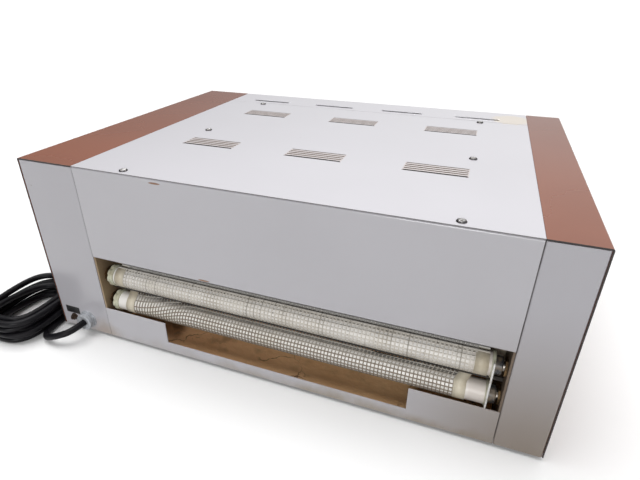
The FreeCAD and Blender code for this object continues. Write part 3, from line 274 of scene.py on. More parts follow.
world = bpy.data.worlds.new("soft_room")
scene.world = world
world.use_nodes = True
tree = world.node_tree
way = tree.nodes.new("ShaderNodeTexCoord").outputs["Generated"]
behind = vector("DOT_PRODUCT", way, (0.65, 0.50, 0.57))["Value"]
glow = ramp(behind, -0.3, 0.8, 0.12, 0.75, "SMOOTHSTEP")
seen = tree.nodes.new("ShaderNodeLightPath").outputs["Is Camera Ray"]
background = tree.nodes["Background"].inputs
tree.links.new(reckon("MAXIMUM", glow, seen), background["Strength"])
background["Color"].default_value = (1.0, 1.0, 1.0, 1.0)
ceiling = bpy.data.lights.new("ceiling_light", "SUN")
ceiling.angle = 0.9
ceiling.energy = 2.4
front = bpy.data.lights.new("front_light", "AREA")
front.size = 0.9
front.energy = 42.0
for light, place, target in (
    (ceiling, (-0.22, 0.02, 1.0), (0.0, 0.0, 0.0)),
    (front, (0.10, -3.1, 1.10), (0.0, -0.2, 0.08)),
):
    lamp = bpy.data.objects.new(light.name, light)
    lamp.location = place
    lamp.rotation_euler = (Vector(target) - Vector(place)).to_track_quat("-Z", "Y").to_euler()
    scene.collection.objects.link(lamp)
scene.view_settings.view_transform = "Standard"

# Case panels: the posts, end panels and top cover are folded steel sheet, sprayed white and baked.
# The gloss paint has a faint orange peel, two chips at its edges, and dirt along its foot.
case_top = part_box("top_cover")[1].z
bay_middle = 0.016
post_from_middle = 0.2371
post_seams = (-0.221, 0.253)
cover_seam = 0.14545
under_skirt = case_top - 0.0015
vent_columns = (bay_middle, -0.1215, 0.1535)
vent_rows = (-0.08525, 0.07825)
vent_half_length = 0.0345
vent_half_depth = 0.0130
vent_front_lip = -0.0137
first_slot = -0.0106
chip_stretch = 0.15
chips = ((188.0, 233.6), (233.5, 125.6))


def scaled(one, by):
    """A vector drawn out or in."""
    return result(one.id_data, "ShaderNodeVectorMath", {0: one, "Scale": by}, operation="SCALE")


def axes(where):
    """The three coordinates of a place."""
    return node(where.id_data, "ShaderNodeSeparateXYZ", {"Vector": where}).outputs


# A ragged spot round a point, for chips and stains.
spots, inlet = mask_group("spots", ("Vector", "Centre", "Radius", "Ragged", "Inner"))
fray = vector("SUBTRACT", noise(inlet["Vector"], 160.0, 3.0)["Color"], (0.5, 0.5, 0.5))[0]
fray = vector("ADD", inlet["Vector"], scaled(fray, inlet["Ragged"]))[0]
gap = reckon("DIVIDE", vector("DISTANCE", fray, inlet["Centre"])["Value"], inlet["Radius"])
node(spots, "NodeGroupOutput", {"Mask": ramp(gap, 1.0, inlet["Inner"], kind="SMOOTHSTEP")})

# Dirt that has settled along the foot of a wall and thins out upwards.
foot_dirt, inlet = mask_group("foot_dirt", ("Vector", "Height", "Scale"))
cloud = noise(inlet["Vector"], inlet["Scale"], 5.0)["Fac"]
level = reckon("DIVIDE", axes(inlet["Vector"])["Z"], inlet["Height"])
level = reckon("SUBTRACT", cloud, level)
node(foot_dirt, "NodeGroupOutput", {"Mask": ramp(level, 0.0, 0.5, kind="SMOOTHSTEP")})

# Small dark specks, thinly strewn.
specks, inlet = mask_group("specks", ("Vector", "Scale", "Share", "Size"))
cells = node(specks, "ShaderNodeTexVoronoi", {"Vector": inlet["Vector"], "Scale": inlet["Scale"]}).outputs
drawn = result(specks, "ShaderNodeSeparateColor", {"Color": cells["Color"]})
drawn = reckon("LESS_THAN", drawn, inlet["Share"])
dots = ramp(cells["Distance"], inlet["Size"], 0.0)
node(specks, "NodeGroupOutput", {"Mask": reckon("MULTIPLY", dots, drawn)})


def both(one, other, operation="MULTIPLY"):
    """Two masks, or a mask and a number, put together and kept between 0 and 1."""
    return reckon(operation, one, other, use_clamp=True)


def either(*masks):
    """Several masks side by side."""
    total = masks[0]
    for mask in masks[1:]:
        total = both(total, mask, "ADD")
    return total


def spot(where, centre, radius, ragged, inner=0.75):
    """A ragged spot on the object, full to an inner share of its radius."""
    return mask_of(spots, where, centre, radius, ragged, inner)


def cut_edge(where, lowest, highest, slant):
    """The cut front edge of a cover's sheet, between two heights."""
    facing = node(where.id_data, "ShaderNodeNewGeometry", {}).outputs["True Normal"]
    ahead = vector("DOT_PRODUCT", facing, (0.0, -1.0, 0.0))["Value"]
    height = axes(where)["Z"]
    between = both(both(height, lowest, "GREATER_THAN"), both(height, highest, "LESS_THAN"))
    return both(both(ahead, slant, "GREATER_THAN"), between)


def near(value, centre, reach):
    """Where a coordinate lies within a reach of a centre."""
    return result(value.id_data, "ShaderNodeMath", {0: value, 1: centre, 2: reach}, operation="COMPARE")


def dress(material, *names):
    """Gives CAD nodes a finish."""
    for name in names:
        nodes[name].data.materials.clear()
        nodes[name].data.materials.append(material)


white, where, shader = new_finish("white_enamel", {"Coat Roughness": 0.10})
place = axes(where)
columns = either(*(near(place["X"], middle, vent_half_length) for middle in vent_columns))
columns = both(columns, both(place["Z"], under_skirt, "GREATER_THAN"))


def in_rows(offset, reach):
    """Where the top lies within a reach of the same line in both rows of vents."""
    spans = (near(place["Y"], middle + offset, reach) for middle in vent_rows)
    return both(columns, either(*spans))


faded = patch(where, 4.0, 0.30, 0.90)
base = tint(faded, (0.600, 0.588, 0.622), (0.560, 0.548, 0.578))
posts = both(1.0, near(place["X"], bay_middle, post_from_middle), "SUBTRACT")
base = tint(both(posts, 0.55), base, (0.475, 0.463, 0.495))
grimy = mask_of(foot_dirt, where, 0.042, 24.0)
base = tint(both(grimy, ramp(place["X"], -0.12, 0.05, 0.3, 0.85)), base, (0.36, 0.30, 0.23))
base = tint(both(mask_of(specks, where, 38.0, 0.10, 0.05), 0.6), base, (0.22, 0.16, 0.12))
drawn_out = vector("MULTIPLY", where, (chip_stretch, 1.0, 1.0))[0]
for x, z in chips:
    centre = at(x, 0.0, z)
    centre.x *= chip_stretch
    base = tint(spot(drawn_out, centre, 0.0012, 0.0010), base, (0.30, 0.165, 0.10))
# Painted shade: the lower right corner of the case is darkened in a broad warm grey spot.
painted_corner_shade = spot(where, at(590.0, 0.0, 0.0), 0.190, 0.0, 0.0)
base = tint(both(painted_corner_shade, 0.95), base, (0.26, 0.21, 0.168))
seeped = spot(where, at(70.0, 0.0, 6.0), 0.030, 0.012, 0.1)
base = tint(both(seeped, 0.5), base, (0.38, 0.27, 0.18))
aged = spot(where, (0.232, 0.168, case_top), 0.030, 0.020)
base = tint(both(aged, 0.45), base, (0.72, 0.60, 0.40))
# Painted shadow: the seams at the posts and the joint across the top are drawn as broken dark lines, rough
# and without coat.
joints = either(*(near(place["X"], seam, 0.00055) for seam in post_seams))
joints = both(joints, both(place["Z"], under_skirt, "LESS_THAN"))
joints = either(joints, both(near(place["Y"], cover_seam, 0.0012), 0.75))
patchy_seam_shade = share(patch(where, 26.0, 0.35, 0.65), 0.45, 0.85)
base = tint(both(joints, patchy_seam_shade), base, (0.10, 0.090, 0.085))
base = tint(both(in_rows(0.0, vent_half_depth), 0.42), base, (0.57, 0.46, 0.39))
# Painted shadow: a dark line on the top in front of each group of vents, and darkened cut front edges and
# slit walls, the first slit's wall nearly black and the last one's lighter.
base = tint(both(in_rows(vent_front_lip, 0.0007), 0.9), base, (0.04, 0.032, 0.028))
edges = cut_edge(where, case_top - 0.0012, case_top + 0.0002, 0.9)
base = tint(both(edges, 0.8), base, (0.13, 0.12, 0.12))
for offset, reach, colour in (
    (0.0, 0.0140, (0.17, 0.125, 0.098)),
    (first_slot, 0.0006, (0.006, 0.004, 0.003)),
    (vent_half_depth, 0.0006, (0.34, 0.30, 0.28)),
):
    base = tint(both(edges, in_rows(offset, reach)), base, colour)
rough = either(share(faded, 0.20, 0.30), joints)
lay_on(shader, base, rough, skin_of(where, 300.0, 0.04, 0.0003))
where.id_data.links.new(share(joints, 0.25, 0.0), shader.inputs["Coat Weight"])
dress(white, "left_front_pillar", "right_front_pillar", "left_rear_pillar", "right_rear_pillar", "top_cover")
dress(white, "front_upper_panel", "front_lower_panel", "rear_control_panel", "rear_lower_panel")

# Strip cover of the control box: the same white sheet, with a row of four low louvres pressed up in it.
# Each opens to the outlet end by a narrow slit, so that hardly a shadow shows.
slit_edge = at(0.0, 373.0, 0.0).y
slit_closed = 0.0009
louvre_share = 0.5


def settle(name, made, finishes, sharp=None):
    """The mesh of a worked form with its finishes, and its edges kept sharp past an angle in degrees."""
    mesh = bpy.data.meshes.new(name)
    made.to_mesh(mesh)
    made.free()
    for finish in finishes:
        mesh.materials.append(finish)
    if sharp:
        mesh.set_sharp_from_angle(angle=math.radians(sharp))
    return mesh


strip = bmesh.new()
strip.from_mesh(nodes["rear_top_cover"].data)
bmesh.ops.remove_doubles(strip, verts=strip.verts, dist=0.00001)
for vert in strip.verts:
    if abs(vert.co.y - slit_edge) < 0.0002:
        vert.co.y += slit_closed
    if vert.co.z > case_top + 0.0001:
        vert.co.z = case_top + (vert.co.z - case_top) * louvre_share
for face in strip.faces:
    face.smooth = False
louvred_cover = add_piece("louvred_cover", settle("louvred_cover", strip, (white,)))
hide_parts("rear_top_cover")

# Side covers: one folded sheet over each bay, from the top down the side, in a glossy red-brown enamel.
# The cut edge of the sheet stands in front of the posts and is painted nearly black as shade.
gloss = {"Coat Weight": 0.15, "Coat Roughness": 0.06, "Specular IOR Level": 0.35}
brown, where, shader = new_finish("brown_enamel", gloss)
faded = patch(where, 6.0, 0.30, 0.85)
base = tint(faded, (0.266, 0.096, 0.055), (0.222, 0.086, 0.055))
base = tint(both(mask_of(specks, where, 60.0, 0.12, 0.06), 0.5), base, (0.10, 0.05, 0.04))
# Painted shade: the covers darken towards the back.
base = tint(ramp(axes(where)["Y"], -0.15, 0.2, 0.0, 0.8), base, (0.190, 0.082, 0.060))
# Painted shade: the cut front edge of the cover is nearly black.
base = tint(cut_edge(where, 0.0, 1.0, 0.35), base, (0.034, 0.029, 0.028))
lay_on(shader, base, share(faded, 0.22, 0.34), skin_of(where, 320.0, 0.04, 0.0003))
dress(brown, "left_side_cover", "right_side_cover")

# Cover screws: nickel-plated truss heads with a pressed cross, six in the top cover and two in each side.
# Their rims are painted dark as shade and their crowns bright as a highlight, and they are patchily dirty.
screw_radius = 0.0047
screw_height = 0.0022
screw_profile = [(1.0, 0.0), (0.97, 0.22), (0.86, 0.55), (0.66, 0.83), (0.42, 0.96), (0.18, 1.0)]
screw_sides = 32
cross_arm = 0.975
cross_reach = 0.7
cross_depth = 0.55
cross_floor = 0.45


def loft(made, profile, place, sides, closed=False):
    """Rings of points, each placed by its angle and a point of a profile, and the faces between the rings."""
    turns = [2 * math.pi * k / sides for k in range(sides)]
    rings = [[made.verts.new(place(turn, *point)) for turn in turns] for point in profile]
    faces = []
    for low, high in zip(rings, rings[1:] + rings[:1] * closed):
        for k in range(sides):
            after = (k + 1) % sides
            faces.append(made.faces.new((low[k], low[after], high[after], high[k])))
    return rings, faces


def on_head(turn, reach, rise):
    """A point of a screw's head, sunk where the cross is pressed in."""
    cos, sin = math.cos(turn), math.sin(turn)
    sunk = cross_depth if max(abs(cos), abs(sin)) > cross_arm and reach < cross_reach else 0.0
    return screw_radius * reach * cos, screw_radius * reach * sin, screw_height * (rise - sunk)


head = bmesh.new()
rings, faces = loft(head, screw_profile, on_head, screw_sides)
middle = head.verts.new((0.0, 0.0, screw_height * cross_floor))
for k in range(screw_sides):
    head.faces.new((rings[-1][k], rings[-1][(k + 1) % screw_sides], middle))
head.faces.new(reversed(rings[0]))
crown = head.verts.layers.float.new("crown")
for vert in head.verts:
    vert[crown] = 1.0 - min(vert.co.xy.length / screw_radius, 1.0)
head_piece = bpy.data.objects.new("screw_head", settle("screw_head", head, ()))
scene.collection.objects.link(head_piece)

plated, where, shader = new_finish("plated_steel", {"Metallic": 1.0})
rim_shade_crown_highlight = node(where.id_data, "ShaderNodeAttribute", {}, attribute_name="crown").outputs["Fac"]
worn = patch(where, 400.0, 0.35, 0.7)
# Painted shade at the rim and painted highlight at the crown, by distance from the middle of the head.
base = tint(ramp(rim_shade_crown_highlight, 0.24, 0.44), (0.095, 0.092, 0.098), (0.78, 0.77, 0.76))
base = tint(both(worn, 0.4), base, (0.20, 0.17, 0.15))
lay_on(shader, base, share(worn, 0.28, 0.5))


def shape_tree(name, inputs):
    """An empty geometry node tree with named inputs, each of a kind: the tree and its input sockets."""
    tree = bpy.data.node_groups.new(name, "GeometryNodeTree")
    tree.interface.new_socket("Geometry", in_out="INPUT", socket_type="NodeSocketGeometry")
    for label, (kind, value) in inputs.items():
        tree.interface.new_socket(label, in_out="INPUT", socket_type="NodeSocket" + kind)
    tree.interface.new_socket("Geometry", in_out="OUTPUT", socket_type="NodeSocketGeometry")
    return tree, tree.nodes.new("NodeGroupInput").outputs


def grow(name, mesh, tree, inputs):
    """The plain mesh that a node tree makes from a starting mesh and the values of its inputs."""
    start = bpy.data.objects.new(name, mesh)
    scene.collection.objects.link(start)
    modifier = start.modifiers.new(name, "NODES")
    modifier.node_group = tree
    for item in tree.interface.items_tree:
        if item.in_out == "INPUT" and item.name in inputs:
            modifier[item.identifier] = inputs[item.name][1]
    made = bpy.data.meshes.new_from_object(start.evaluated_get(bpy.context.evaluated_depsgraph_get()))
    start.modifiers.clear()
    bpy.data.objects.remove(start)
    made.name = name
    return made


def finish_off(geometry, finish):
    """Realizes a tree's instances and gives them their finish."""
    made = result(geometry.id_data, "GeometryNodeRealizeInstances", {"Geometry": geometry})
    return result(geometry.id_data, "GeometryNodeSetMaterial", {"Geometry": made, "Material": finish})


screw_inputs = {"Head": ("Object", head_piece), "Finish": ("Material", plated)}
tree, inlet = shape_tree("screws", screw_inputs)
shape = node(tree, "GeometryNodeObjectInfo", {"Object": inlet["Head"]}).outputs["Geometry"]
facing = result(tree, "GeometryNodeInputNamedAttribute", {"Name": "facing"}, data_type="FLOAT_VECTOR")
turned = result(tree, "FunctionNodeAlignRotationToVector", {"Vector": facing}, axis="Z")
placed = {"Points": inlet["Geometry"], "Instance": shape, "Rotation": turned}
placed = result(tree, "GeometryNodeInstanceOnPoints", placed)
node(tree, "NodeGroupOutput", {"Geometry": finish_off(placed, inlet["Finish"])})

seats = [((x, y, 239.0), (0, 0, 1)) for x in (143.0, 489.0) for y in (8.5, 179.0, 351.5)]
for y in (9.0, 413.0):
    seats += [((0.0, y, 122.0), (-1, 0, 0)), ((600.0, y, 122.0), (1, 0, 0))]
screw_points = bpy.data.meshes.new("screw_points")
screw_points.from_pydata([at(*seat) for seat, way in seats], [], [])
facing = screw_points.attributes.new("facing", "FLOAT_VECTOR", "POINT")
facing.data.foreach_set("vector", [float(part) for seat, way in seats for part in way])
screw_mesh = grow("cover_screw_heads", screw_points, tree, screw_inputs)
bpy.data.objects.remove(head_piece)
screws = add_piece("cover_screw_heads", screw_mesh)
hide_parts("cover_screws")

# Base pan and feet: a shallow pan of spangled zinc-coated sheet under the whole case, with a cross rail and a
# bulkhead of the same sheet above it. It stands on four moulded rubber feet.
spangle_scale = 130.0


def zinc_sheet(name, clean, stained, low, high):
    """Zinc-coated sheet, spangled, that heat and flux have browned in patches."""
    material, where, shader = new_finish(name, {"Metallic": 0.35})
    tree = where.id_data
    spangle = node(tree, "ShaderNodeTexVoronoi", {"Vector": where, "Scale": spangle_scale}).outputs["Color"]
    lot = result(tree, "ShaderNodeSeparateColor", {"Color": spangle})
    base = tint(both(lot, 0.35), clean, tuple(0.8 * part for part in clean))
    browned = patch(where, 11.0, low, high)
    base = tint(browned, base, stained)
    lay_on(shader, base, share(browned, 0.42, 0.65), skin_of(where, 260.0, 0.08, 0.0004))
    return material


zinc = zinc_sheet("zinc_sheet", (0.50, 0.50, 0.50), (0.34, 0.29, 0.24), 0.45, 0.8)
dress(zinc, "base_pan", "mid_cross_rail", "rear_bulkhead")
rubber = mottled(
    "black_rubber", {"Specular IOR Level": 0.3}, (90.0, 0.4, 0.75),
    ((0.016, 0.015, 0.015), (0.06, 0.055, 0.05)), (0.6, 0.85), (900.0, 0.15, 0.0004),
)
dress(rubber, "rubber_feet")

# Inner walls: two upright zinc-coated sheets on the base pan that carry the roller bushes and heaters.
# Heat and flux vapour have tanned the left one, and the right one is painted near black as shade.
tanned = zinc_sheet("tanned_sheet", (0.44, 0.33, 0.21), (0.28, 0.18, 0.10), 0.35, 0.75)
# The right wall's sheet is painted near black as shade.
shade_sheet = zinc_sheet("sooty_sheet", (0.20, 0.15, 0.11), (0.09, 0.06, 0.04), 0.30, 0.70)
dress(tanned, "left_inner_wall")
dress(shade_sheet, "right_inner_wall")

# Heater boxes: a hood over the belt and a tray under it, folded from thin steel and darkened by heat, with
# slabs of pale fibre board and steel-sheathed elements inside. Flat bars along the tray carry the belt.
heated = zinc_sheet("heated_sheet", (0.16, 0.12, 0.09), (0.06, 0.040, 0.028), 0.3, 0.7)
browned = zinc_sheet("browned_sheet", (0.62, 0.55, 0.45), (0.46, 0.38, 0.28), 0.3, 0.7)
dress(heated, "upper_heater_hood")
dress(browned, "lower_heater_tray", "belt_support_rails")
board = mottled(
    "fibre_board", {"Roughness": 0.95, "Specular IOR Level": 0.1}, (16.0, 0.45, 0.8),
    ((0.66, 0.62, 0.54), (0.38, 0.27, 0.17)), skin=(1100.0, 0.6, 0.0006),
)
dress(board, "insulation_slabs")
sheath_colours = ((0.20, 0.18, 0.17), (0.10, 0.06, 0.045))
sheath = mottled("element_sheath", {"Metallic": 0.8}, (60.0, 0.35, 0.7), sheath_colours, (0.4, 0.65))
dress(sheath, "heater_elements")

# Flux tray: a loose sheet pan that lies on the base under the belt and catches what drips from it.
# Old flux has crusted it rusty brown and has cracked as it dried. It is paler to the right, partly in the
# crust and partly as painted light lifting the shade at that end.
crust, where, shader = new_finish("flux_crust", {"Specular IOR Level": 0.25})
place = axes(where)
pooled = patch(where, 14.0, 0.35, 0.7)
base = tint(pooled, (0.95, 0.55, 0.29), (0.76, 0.42, 0.20))
base = tint(both(patch(where, 48.0, 0.50, 0.72), 0.5), base, (0.18, 0.095, 0.048))
# Partly painted light: the crust is paler towards the right end.
paler = both(ramp(place["X"], -0.12, 0.16, 0.0, 0.9), share(pooled, 1.0, 0.6))
base = tint(paler, base, (1.0, 0.66, 0.35))
# Painted shade: darker along the front edge of the tray.
base = tint(ramp(place["Y"], -0.188, -0.203, 0.0, 0.5), base, (0.34, 0.20, 0.10))
drift = scaled(noise(where, 28.0, 4.0)["Color"], 0.05)
cracks = {"Vector": vector("ADD", where, drift)[0], "Scale": 17.0}
cracks = node(where.id_data, "ShaderNodeTexVoronoi", cracks, feature="DISTANCE_TO_EDGE").outputs["Distance"]
cracks = both(ramp(cracks, 0.018, 0.004), patch(where, 9.0, 0.42, 0.58))
base = tint(both(cracks, 0.85), base, (0.07, 0.038, 0.022))
lay_on(shader, base, share(pooled, 0.5, 0.8), skin_of(where, 170.0, 0.5, 0.0016))
dress(crust, "flux_tray")

# Rollers: four turned tubes with a cream heat-proof coat, each with a moulded end cap at the left, a thin
# rim at the right and steel journals that run in flanged bronze bushes in the inner walls.
outlet_y, inlet_y = 18.0, 404.0
upper_z, lower_z = 90.7, 53.4
grips = 8
coat, cap, steel, hub = range(4)
cream, where, shader = new_finish("cream_coat", {"Specular IOR Level": 0.4})
soiled = patch(where, 30.0, 0.42, 0.8)
base = tint(soiled, (0.91, 0.885, 0.85), (0.80, 0.76, 0.68))
ended = ramp(axes(where)["X"], 0.2150, 0.2220, 0.0, 0.85)
base = tint(ended, base, (0.70, 0.635, 0.58))
lay_on(shader, base, share(soiled, 0.35, 0.55), skin_of(where, 500.0, 0.10, 0.0003))
nylon = mottled(
    "aged_nylon", {"Specular IOR Level": 0.4}, (90.0, 0.42, 0.75),
    ((0.60, 0.60, 0.46), (0.42, 0.38, 0.26)), (0.4, 0.6), (600.0, 0.10, 0.0003),
)
steel_colours = ((0.45, 0.43, 0.40), (0.16, 0.12, 0.09))
bare_steel = mottled("bare_steel", {"Metallic": 1.0}, (150.0, 0.4, 0.75), steel_colours, (0.3, 0.55))
# Painted shade: the hub at the right end of each roller is near black, with brownish patches.
hub_shade_colours = ((0.030, 0.032, 0.036), (0.20, 0.15, 0.10))
hub_shade = mottled("greased_hub", {"Specular IOR Level": 0.5}, (110.0, 0.4, 0.7), hub_shade_colours, (0.25, 0.5))


def round_piece(name, profile, place, finishes, sharp, sides=48, hollow=False, numbers=None):
    """The mesh of a smooth round piece: a ring to each profile point, with the number of its finish."""
    made = bmesh.new()
    rings, faces = loft(made, profile, place, sides, hollow)
    numbers = numbers or [0] * len(rings)
    for i, face in enumerate(faces):
        face.material_index = numbers[(1 + i // sides) % len(rings)]
        face.smooth = True
    if not hollow:
        for end in (0, -1):
            made.faces.new(rings[end]).material_index = numbers[end]
    bmesh.ops.recalc_face_normals(made, faces=made.faces)
    return settle(name, made, finishes, sharp)


for name, body, y, z, stub in (
    ("front_upper", "outlet_upper_roller", outlet_y, upper_z, 72.0),
    ("front_lower", "drive_roller", outlet_y, lower_z, 62.0),
    ("rear_upper", "inlet_upper_roller", inlet_y, upper_z, 72.0),
    ("rear_lower", "inlet_lower_roller", inlet_y, lower_z, 72.0),
):
    line = [(stub, 4.4, 0, steel), (stub + 0.6, 5, 0, steel), (87.5, 5, 0, steel), (87.5, 12.4, 1.2, cap)]
    line += [(88.6, 13.6, 1.6, cap), (91.6, 13.6, 1.6, cap), (92.2, 12.9, 0.8, cap), (93.0, 12.9, 0, cap)]
    line += [(93.5, 13.6, 0, cap), (95.4, 13.6, 0, cap), (96.0, 13.1, 0, cap), (96.0, 12, 0, cap)]
    line += [(140.0, 12, 0, coat), (316.5, 12, 0, coat), (500.0, 12, 0, coat), (537.0, 12, 0, coat)]
    line += [(537.0, 13.2, 0, cap), (537.5, 13.6, 0, cap), (539.5, 13.6, 0, cap), (540.0, 13.2, 0, cap)]
    line += [(540.0, 9.6, 0, cap), (546.2, 9.6, 0, hub), (547.2, 8.6, 0, hub), (547.2, 5, 0, hub)]
    line += [(559.4, 5, 0, steel), (560.0, 4.4, 0, steel)]

    def on_roller(turn, x, radius, grip, finish):
        """A point of the roller, with the hollows between the grips of its end cap."""
        reach = radius - grip * (0.5 - 0.5 * math.cos(grips * turn)) ** 4
        return at(x, y + reach * math.cos(turn), z + reach * math.sin(turn))

    finishes = (cream, nylon, bare_steel, hub_shade)
    roller_mesh = round_piece(name, line, on_roller, finishes, 35, numbers=[point[3] for point in line])
    roller = add_piece(name + "_turned", roller_mesh, body)
    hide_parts(name + "_roller", name + "_journals")
bronze_colours = ((0.20, 0.13, 0.065), (0.05, 0.035, 0.022))
bronze = mottled("bush_bronze", {"Metallic": 1.0}, (120.0, 0.4, 0.75), bronze_colours, (0.35, 0.6))
dress(bronze, "roller_bearings")

# Belt guides: two blacked steel rods from wall to wall, each holding the belt's dip between two rollers,
# and a thin upright pin at the right of the mouth that keeps the belt from wandering.
drawn_steel = mottled(
    "drawn_steel", {"Metallic": 0.5}, (120.0, 0.4, 0.75),
    ((0.78, 0.77, 0.75), (0.50, 0.47, 0.43)), (0.32, 0.55), (800.0, 0.08, 0.0002),
)
dress(drawn_steel, "belt_edge_pin")
black_colours = ((0.022, 0.018, 0.015), (0.060, 0.048, 0.036))
blacked = mottled("blacked_steel", {"Metallic": 0.3}, (120.0, 0.4, 0.75), black_colours, (0.45, 0.7))
dress(blacked, "belt_guide_rods")

# Mesh belt: an open glass-fibre mesh with a heat-proof coat, welded into a loop with a plain band along
# each edge. It runs over the four rollers, dips between the two at each end, and draws in on its way back.
belt_middle = 316.5
wrap_radius = 12.7
dip = (20.4, 72.05, 3.2)
bend_steps = 14
outlet_bend = []
for y, z, radius, first, last in (
    (outlet_y, upper_z, wrap_radius, 90, 245), (*dip, 65, -65), (outlet_y, lower_z, wrap_radius, 115, 270),
):
    for k in range(bend_steps + 1):
        turn = math.radians(first + (last - first) * k / bend_steps)
        outlet_bend.append((y + radius * math.cos(turn), z + radius * math.sin(turn)))
belt_path = outlet_bend + [(outlet_y + inlet_y - y, z) for y, z in reversed(outlet_bend)]
path_mesh = bpy.data.meshes.new("belt_path")
points = [at(belt_middle, y, z) for y, z in belt_path]
path_mesh.from_pydata(points, [(i, (i + 1) % len(points)) for i in range(len(points))], [])

strand, where, shader = new_finish("coated_mesh", {"Specular IOR Level": 0.35})
place = axes(where)
height = place["Z"]
soiled = patch(where, 45.0, 0.4, 0.75)
base = tint(soiled, (0.80, 0.755, 0.68), (0.64, 0.585, 0.505))
base = tint(both(patch(where, 9.0, 0.45, 0.75), 0.6), base, (0.84, 0.81, 0.76))
lines = vector("MULTIPLY", where, (1.0, 0.02, 0.02))[0]
base = tint(both(patch(lines, 420.0, 0.55, 0.68), 0.6), base, (0.26, 0.23, 0.19))
# Painted shade: the belt is darker on and below the lower outlet roller.
base = tint(ramp(height, 0.0695, 0.0620), base, (0.27, 0.225, 0.175))
# Painted light: the upper flight behind the outlet roller is painted paler.
upper = both(ramp(place["Y"], -0.198, -0.190), both(height, 0.1, "GREATER_THAN"))
base = tint(upper, base, (0.97, 0.95, 0.91))
# Painted shadow: a wavy nearly black line along the crease between the two outlet rollers.
wander = {0: noise(lines, 11.0, 3.0)["Fac"], 1: 0.007, 2: height}
wander = result(where.id_data, "ShaderNodeMath", wander, operation="MULTIPLY_ADD")
creased = both(ramp(wander, 0.0722, 0.0727), both(height, 0.0732, "LESS_THAN"))
base = tint(both(creased, 0.9), base, (0.012, 0.010, 0.009))
lay_on(shader, base, share(soiled, 0.45, 0.7), skin_of(where, 1500.0, 0.2, 0.0002))

tape, where, shader = new_finish("edge_tape", {"Specular IOR Level": 0.4})
soiled = patch(where, 60.0, 0.4, 0.75)
weave = {"Vector": where, "Scale": 260.0, "Distortion": 1.5}
weave = node(where.id_data, "ShaderNodeTexWave", weave, bands_direction="X").outputs["Fac"]
base = tint(soiled, (0.72, 0.66, 0.53), (0.54, 0.46, 0.33))
base = tint(both(weave, 0.25), base, (0.44, 0.38, 0.28))
lay_on(shader, base, share(soiled, 0.4, 0.6), skin_of(where, 1100.0, 0.2, 0.0003))

belt_inputs = {
    "Width": ("Float", 0.436),
    "Warp": ("Int", 98),
    "Weft": ("Int", 228),
    "Strand": ("Float", 0.00047),
    "Band": ("Float", 0.0125),
    "Return Share": ("Float", 410 / 436),
    "Return Drift": ("Float", -0.0029),
    "Skew": ("Float", 0.020),
    "Finish": ("Material", strand),
    "Edge Finish": ("Material", tape),
}
tree, inlet = shape_tree("mesh_belt", belt_inputs)
loop = result(tree, "GeometryNodeMeshToCurve", {"Mesh": inlet["Geometry"]})
half = reckon("MULTIPLY", inlet["Width"], 0.5)
open_half = reckon("SUBTRACT", half, inlet["Band"])
band_middle = reckon("SUBTRACT", half, reckon("MULTIPLY", inlet["Band"], 0.5))


def xyz(tree, **parts):
    """A place or size from its three coordinates."""
    return result(tree, "ShaderNodeCombineXYZ", parts)


def ends_across(reach):
    """The two places at a reach on each side of the middle of the belt."""
    return xyz(reach.id_data, X=reckon("MULTIPLY", reach, -1.0)), xyz(reach.id_data, X=reach)


def rows_across(loop, reach, count):
    """Copies of the loop, evenly spread to a reach on each side of the middle."""
    tree = loop.id_data
    start, end = ends_across(reach)
    line = {"Count": count, "Start Location": start, "Offset": end}
    line = result(tree, "GeometryNodeMeshLine", line, mode="END_POINTS")
    copies = result(tree, "GeometryNodeInstanceOnPoints", {"Points": line, "Instance": loop})
    return result(tree, "GeometryNodeRealizeInstances", {"Geometry": copies})


def flat_yarn(height, width):
    """The cross-section of a yarn or band."""
    sizes = {"Height": height, "Width": width}
    return result(height.id_data, "GeometryNodeCurvePrimitiveQuadrilateral", sizes)


# The warp yarns run along the loop and are wider on the upper flight.
position = tree.nodes.new("GeometryNodeInputPosition").outputs[0]
place = axes(position)
thin = reckon("MULTIPLY", inlet["Strand"], 0.8)
yarn = flat_yarn(thin, reckon("MULTIPLY", inlet["Strand"], 2.4))
swell = ramp(place["Z"], 0.1026, 0.1033, 1.0, 3.2)
warp = {"Curve": rows_across(loop, open_half, inlet["Warp"]), "Profile Curve": yarn, "Scale": swell}
warp = result(tree, "GeometryNodeCurveToMesh", warp)

# The weft yarns run across the belt and are dragged askew at the left of the lower roller.
steps = result(tree, "GeometryNodeResampleCurve", {"Curve": loop, "Count": inlet["Weft"]})
left_end, right_end = ends_across(half)
bar = result(tree, "GeometryNodeCurvePrimitiveLine", {"Start": left_end, "End": right_end})
bar = result(tree, "GeometryNodeResampleCurve", {"Curve": bar, "Count": 40})
run = node(tree, "GeometryNodeSplineParameter", {}).outputs["Length"]
steps = result(tree, "GeometryNodeStoreNamedAttribute", {"Geometry": steps, "Name": "run", "Value": run})
weft = result(tree, "GeometryNodeInstanceOnPoints", {"Points": steps, "Instance": bar})
weft = result(tree, "GeometryNodeRealizeInstances", {"Geometry": weft})
run = result(tree, "GeometryNodeInputNamedAttribute", {"Name": "run"})
slack = ramp(place["X"], -0.190, -0.100, inlet["Skew"], 0.0, "SMOOTHSTEP")
for first, last in ((0.032, 0.060), (0.300, 0.095)):
    slack = reckon("MULTIPLY", slack, ramp(run, first, last, kind="SMOOTHSTEP"))
dragged = {"Curves": loop, "Length": reckon("ADD", run, slack)}
dragged = node(tree, "GeometryNodeSampleCurve", dragged, mode="LENGTH").outputs
heading = axes(dragged["Tangent"])
heading = reckon("ARCTAN2", heading["Z"], heading["Y"])
dragged = axes(dragged["Position"])
dragged = xyz(tree, X=place["X"], Y=dragged["Y"], Z=dragged["Z"])
weft = result(tree, "GeometryNodeSetPosition", {"Geometry": weft, "Position": dragged})
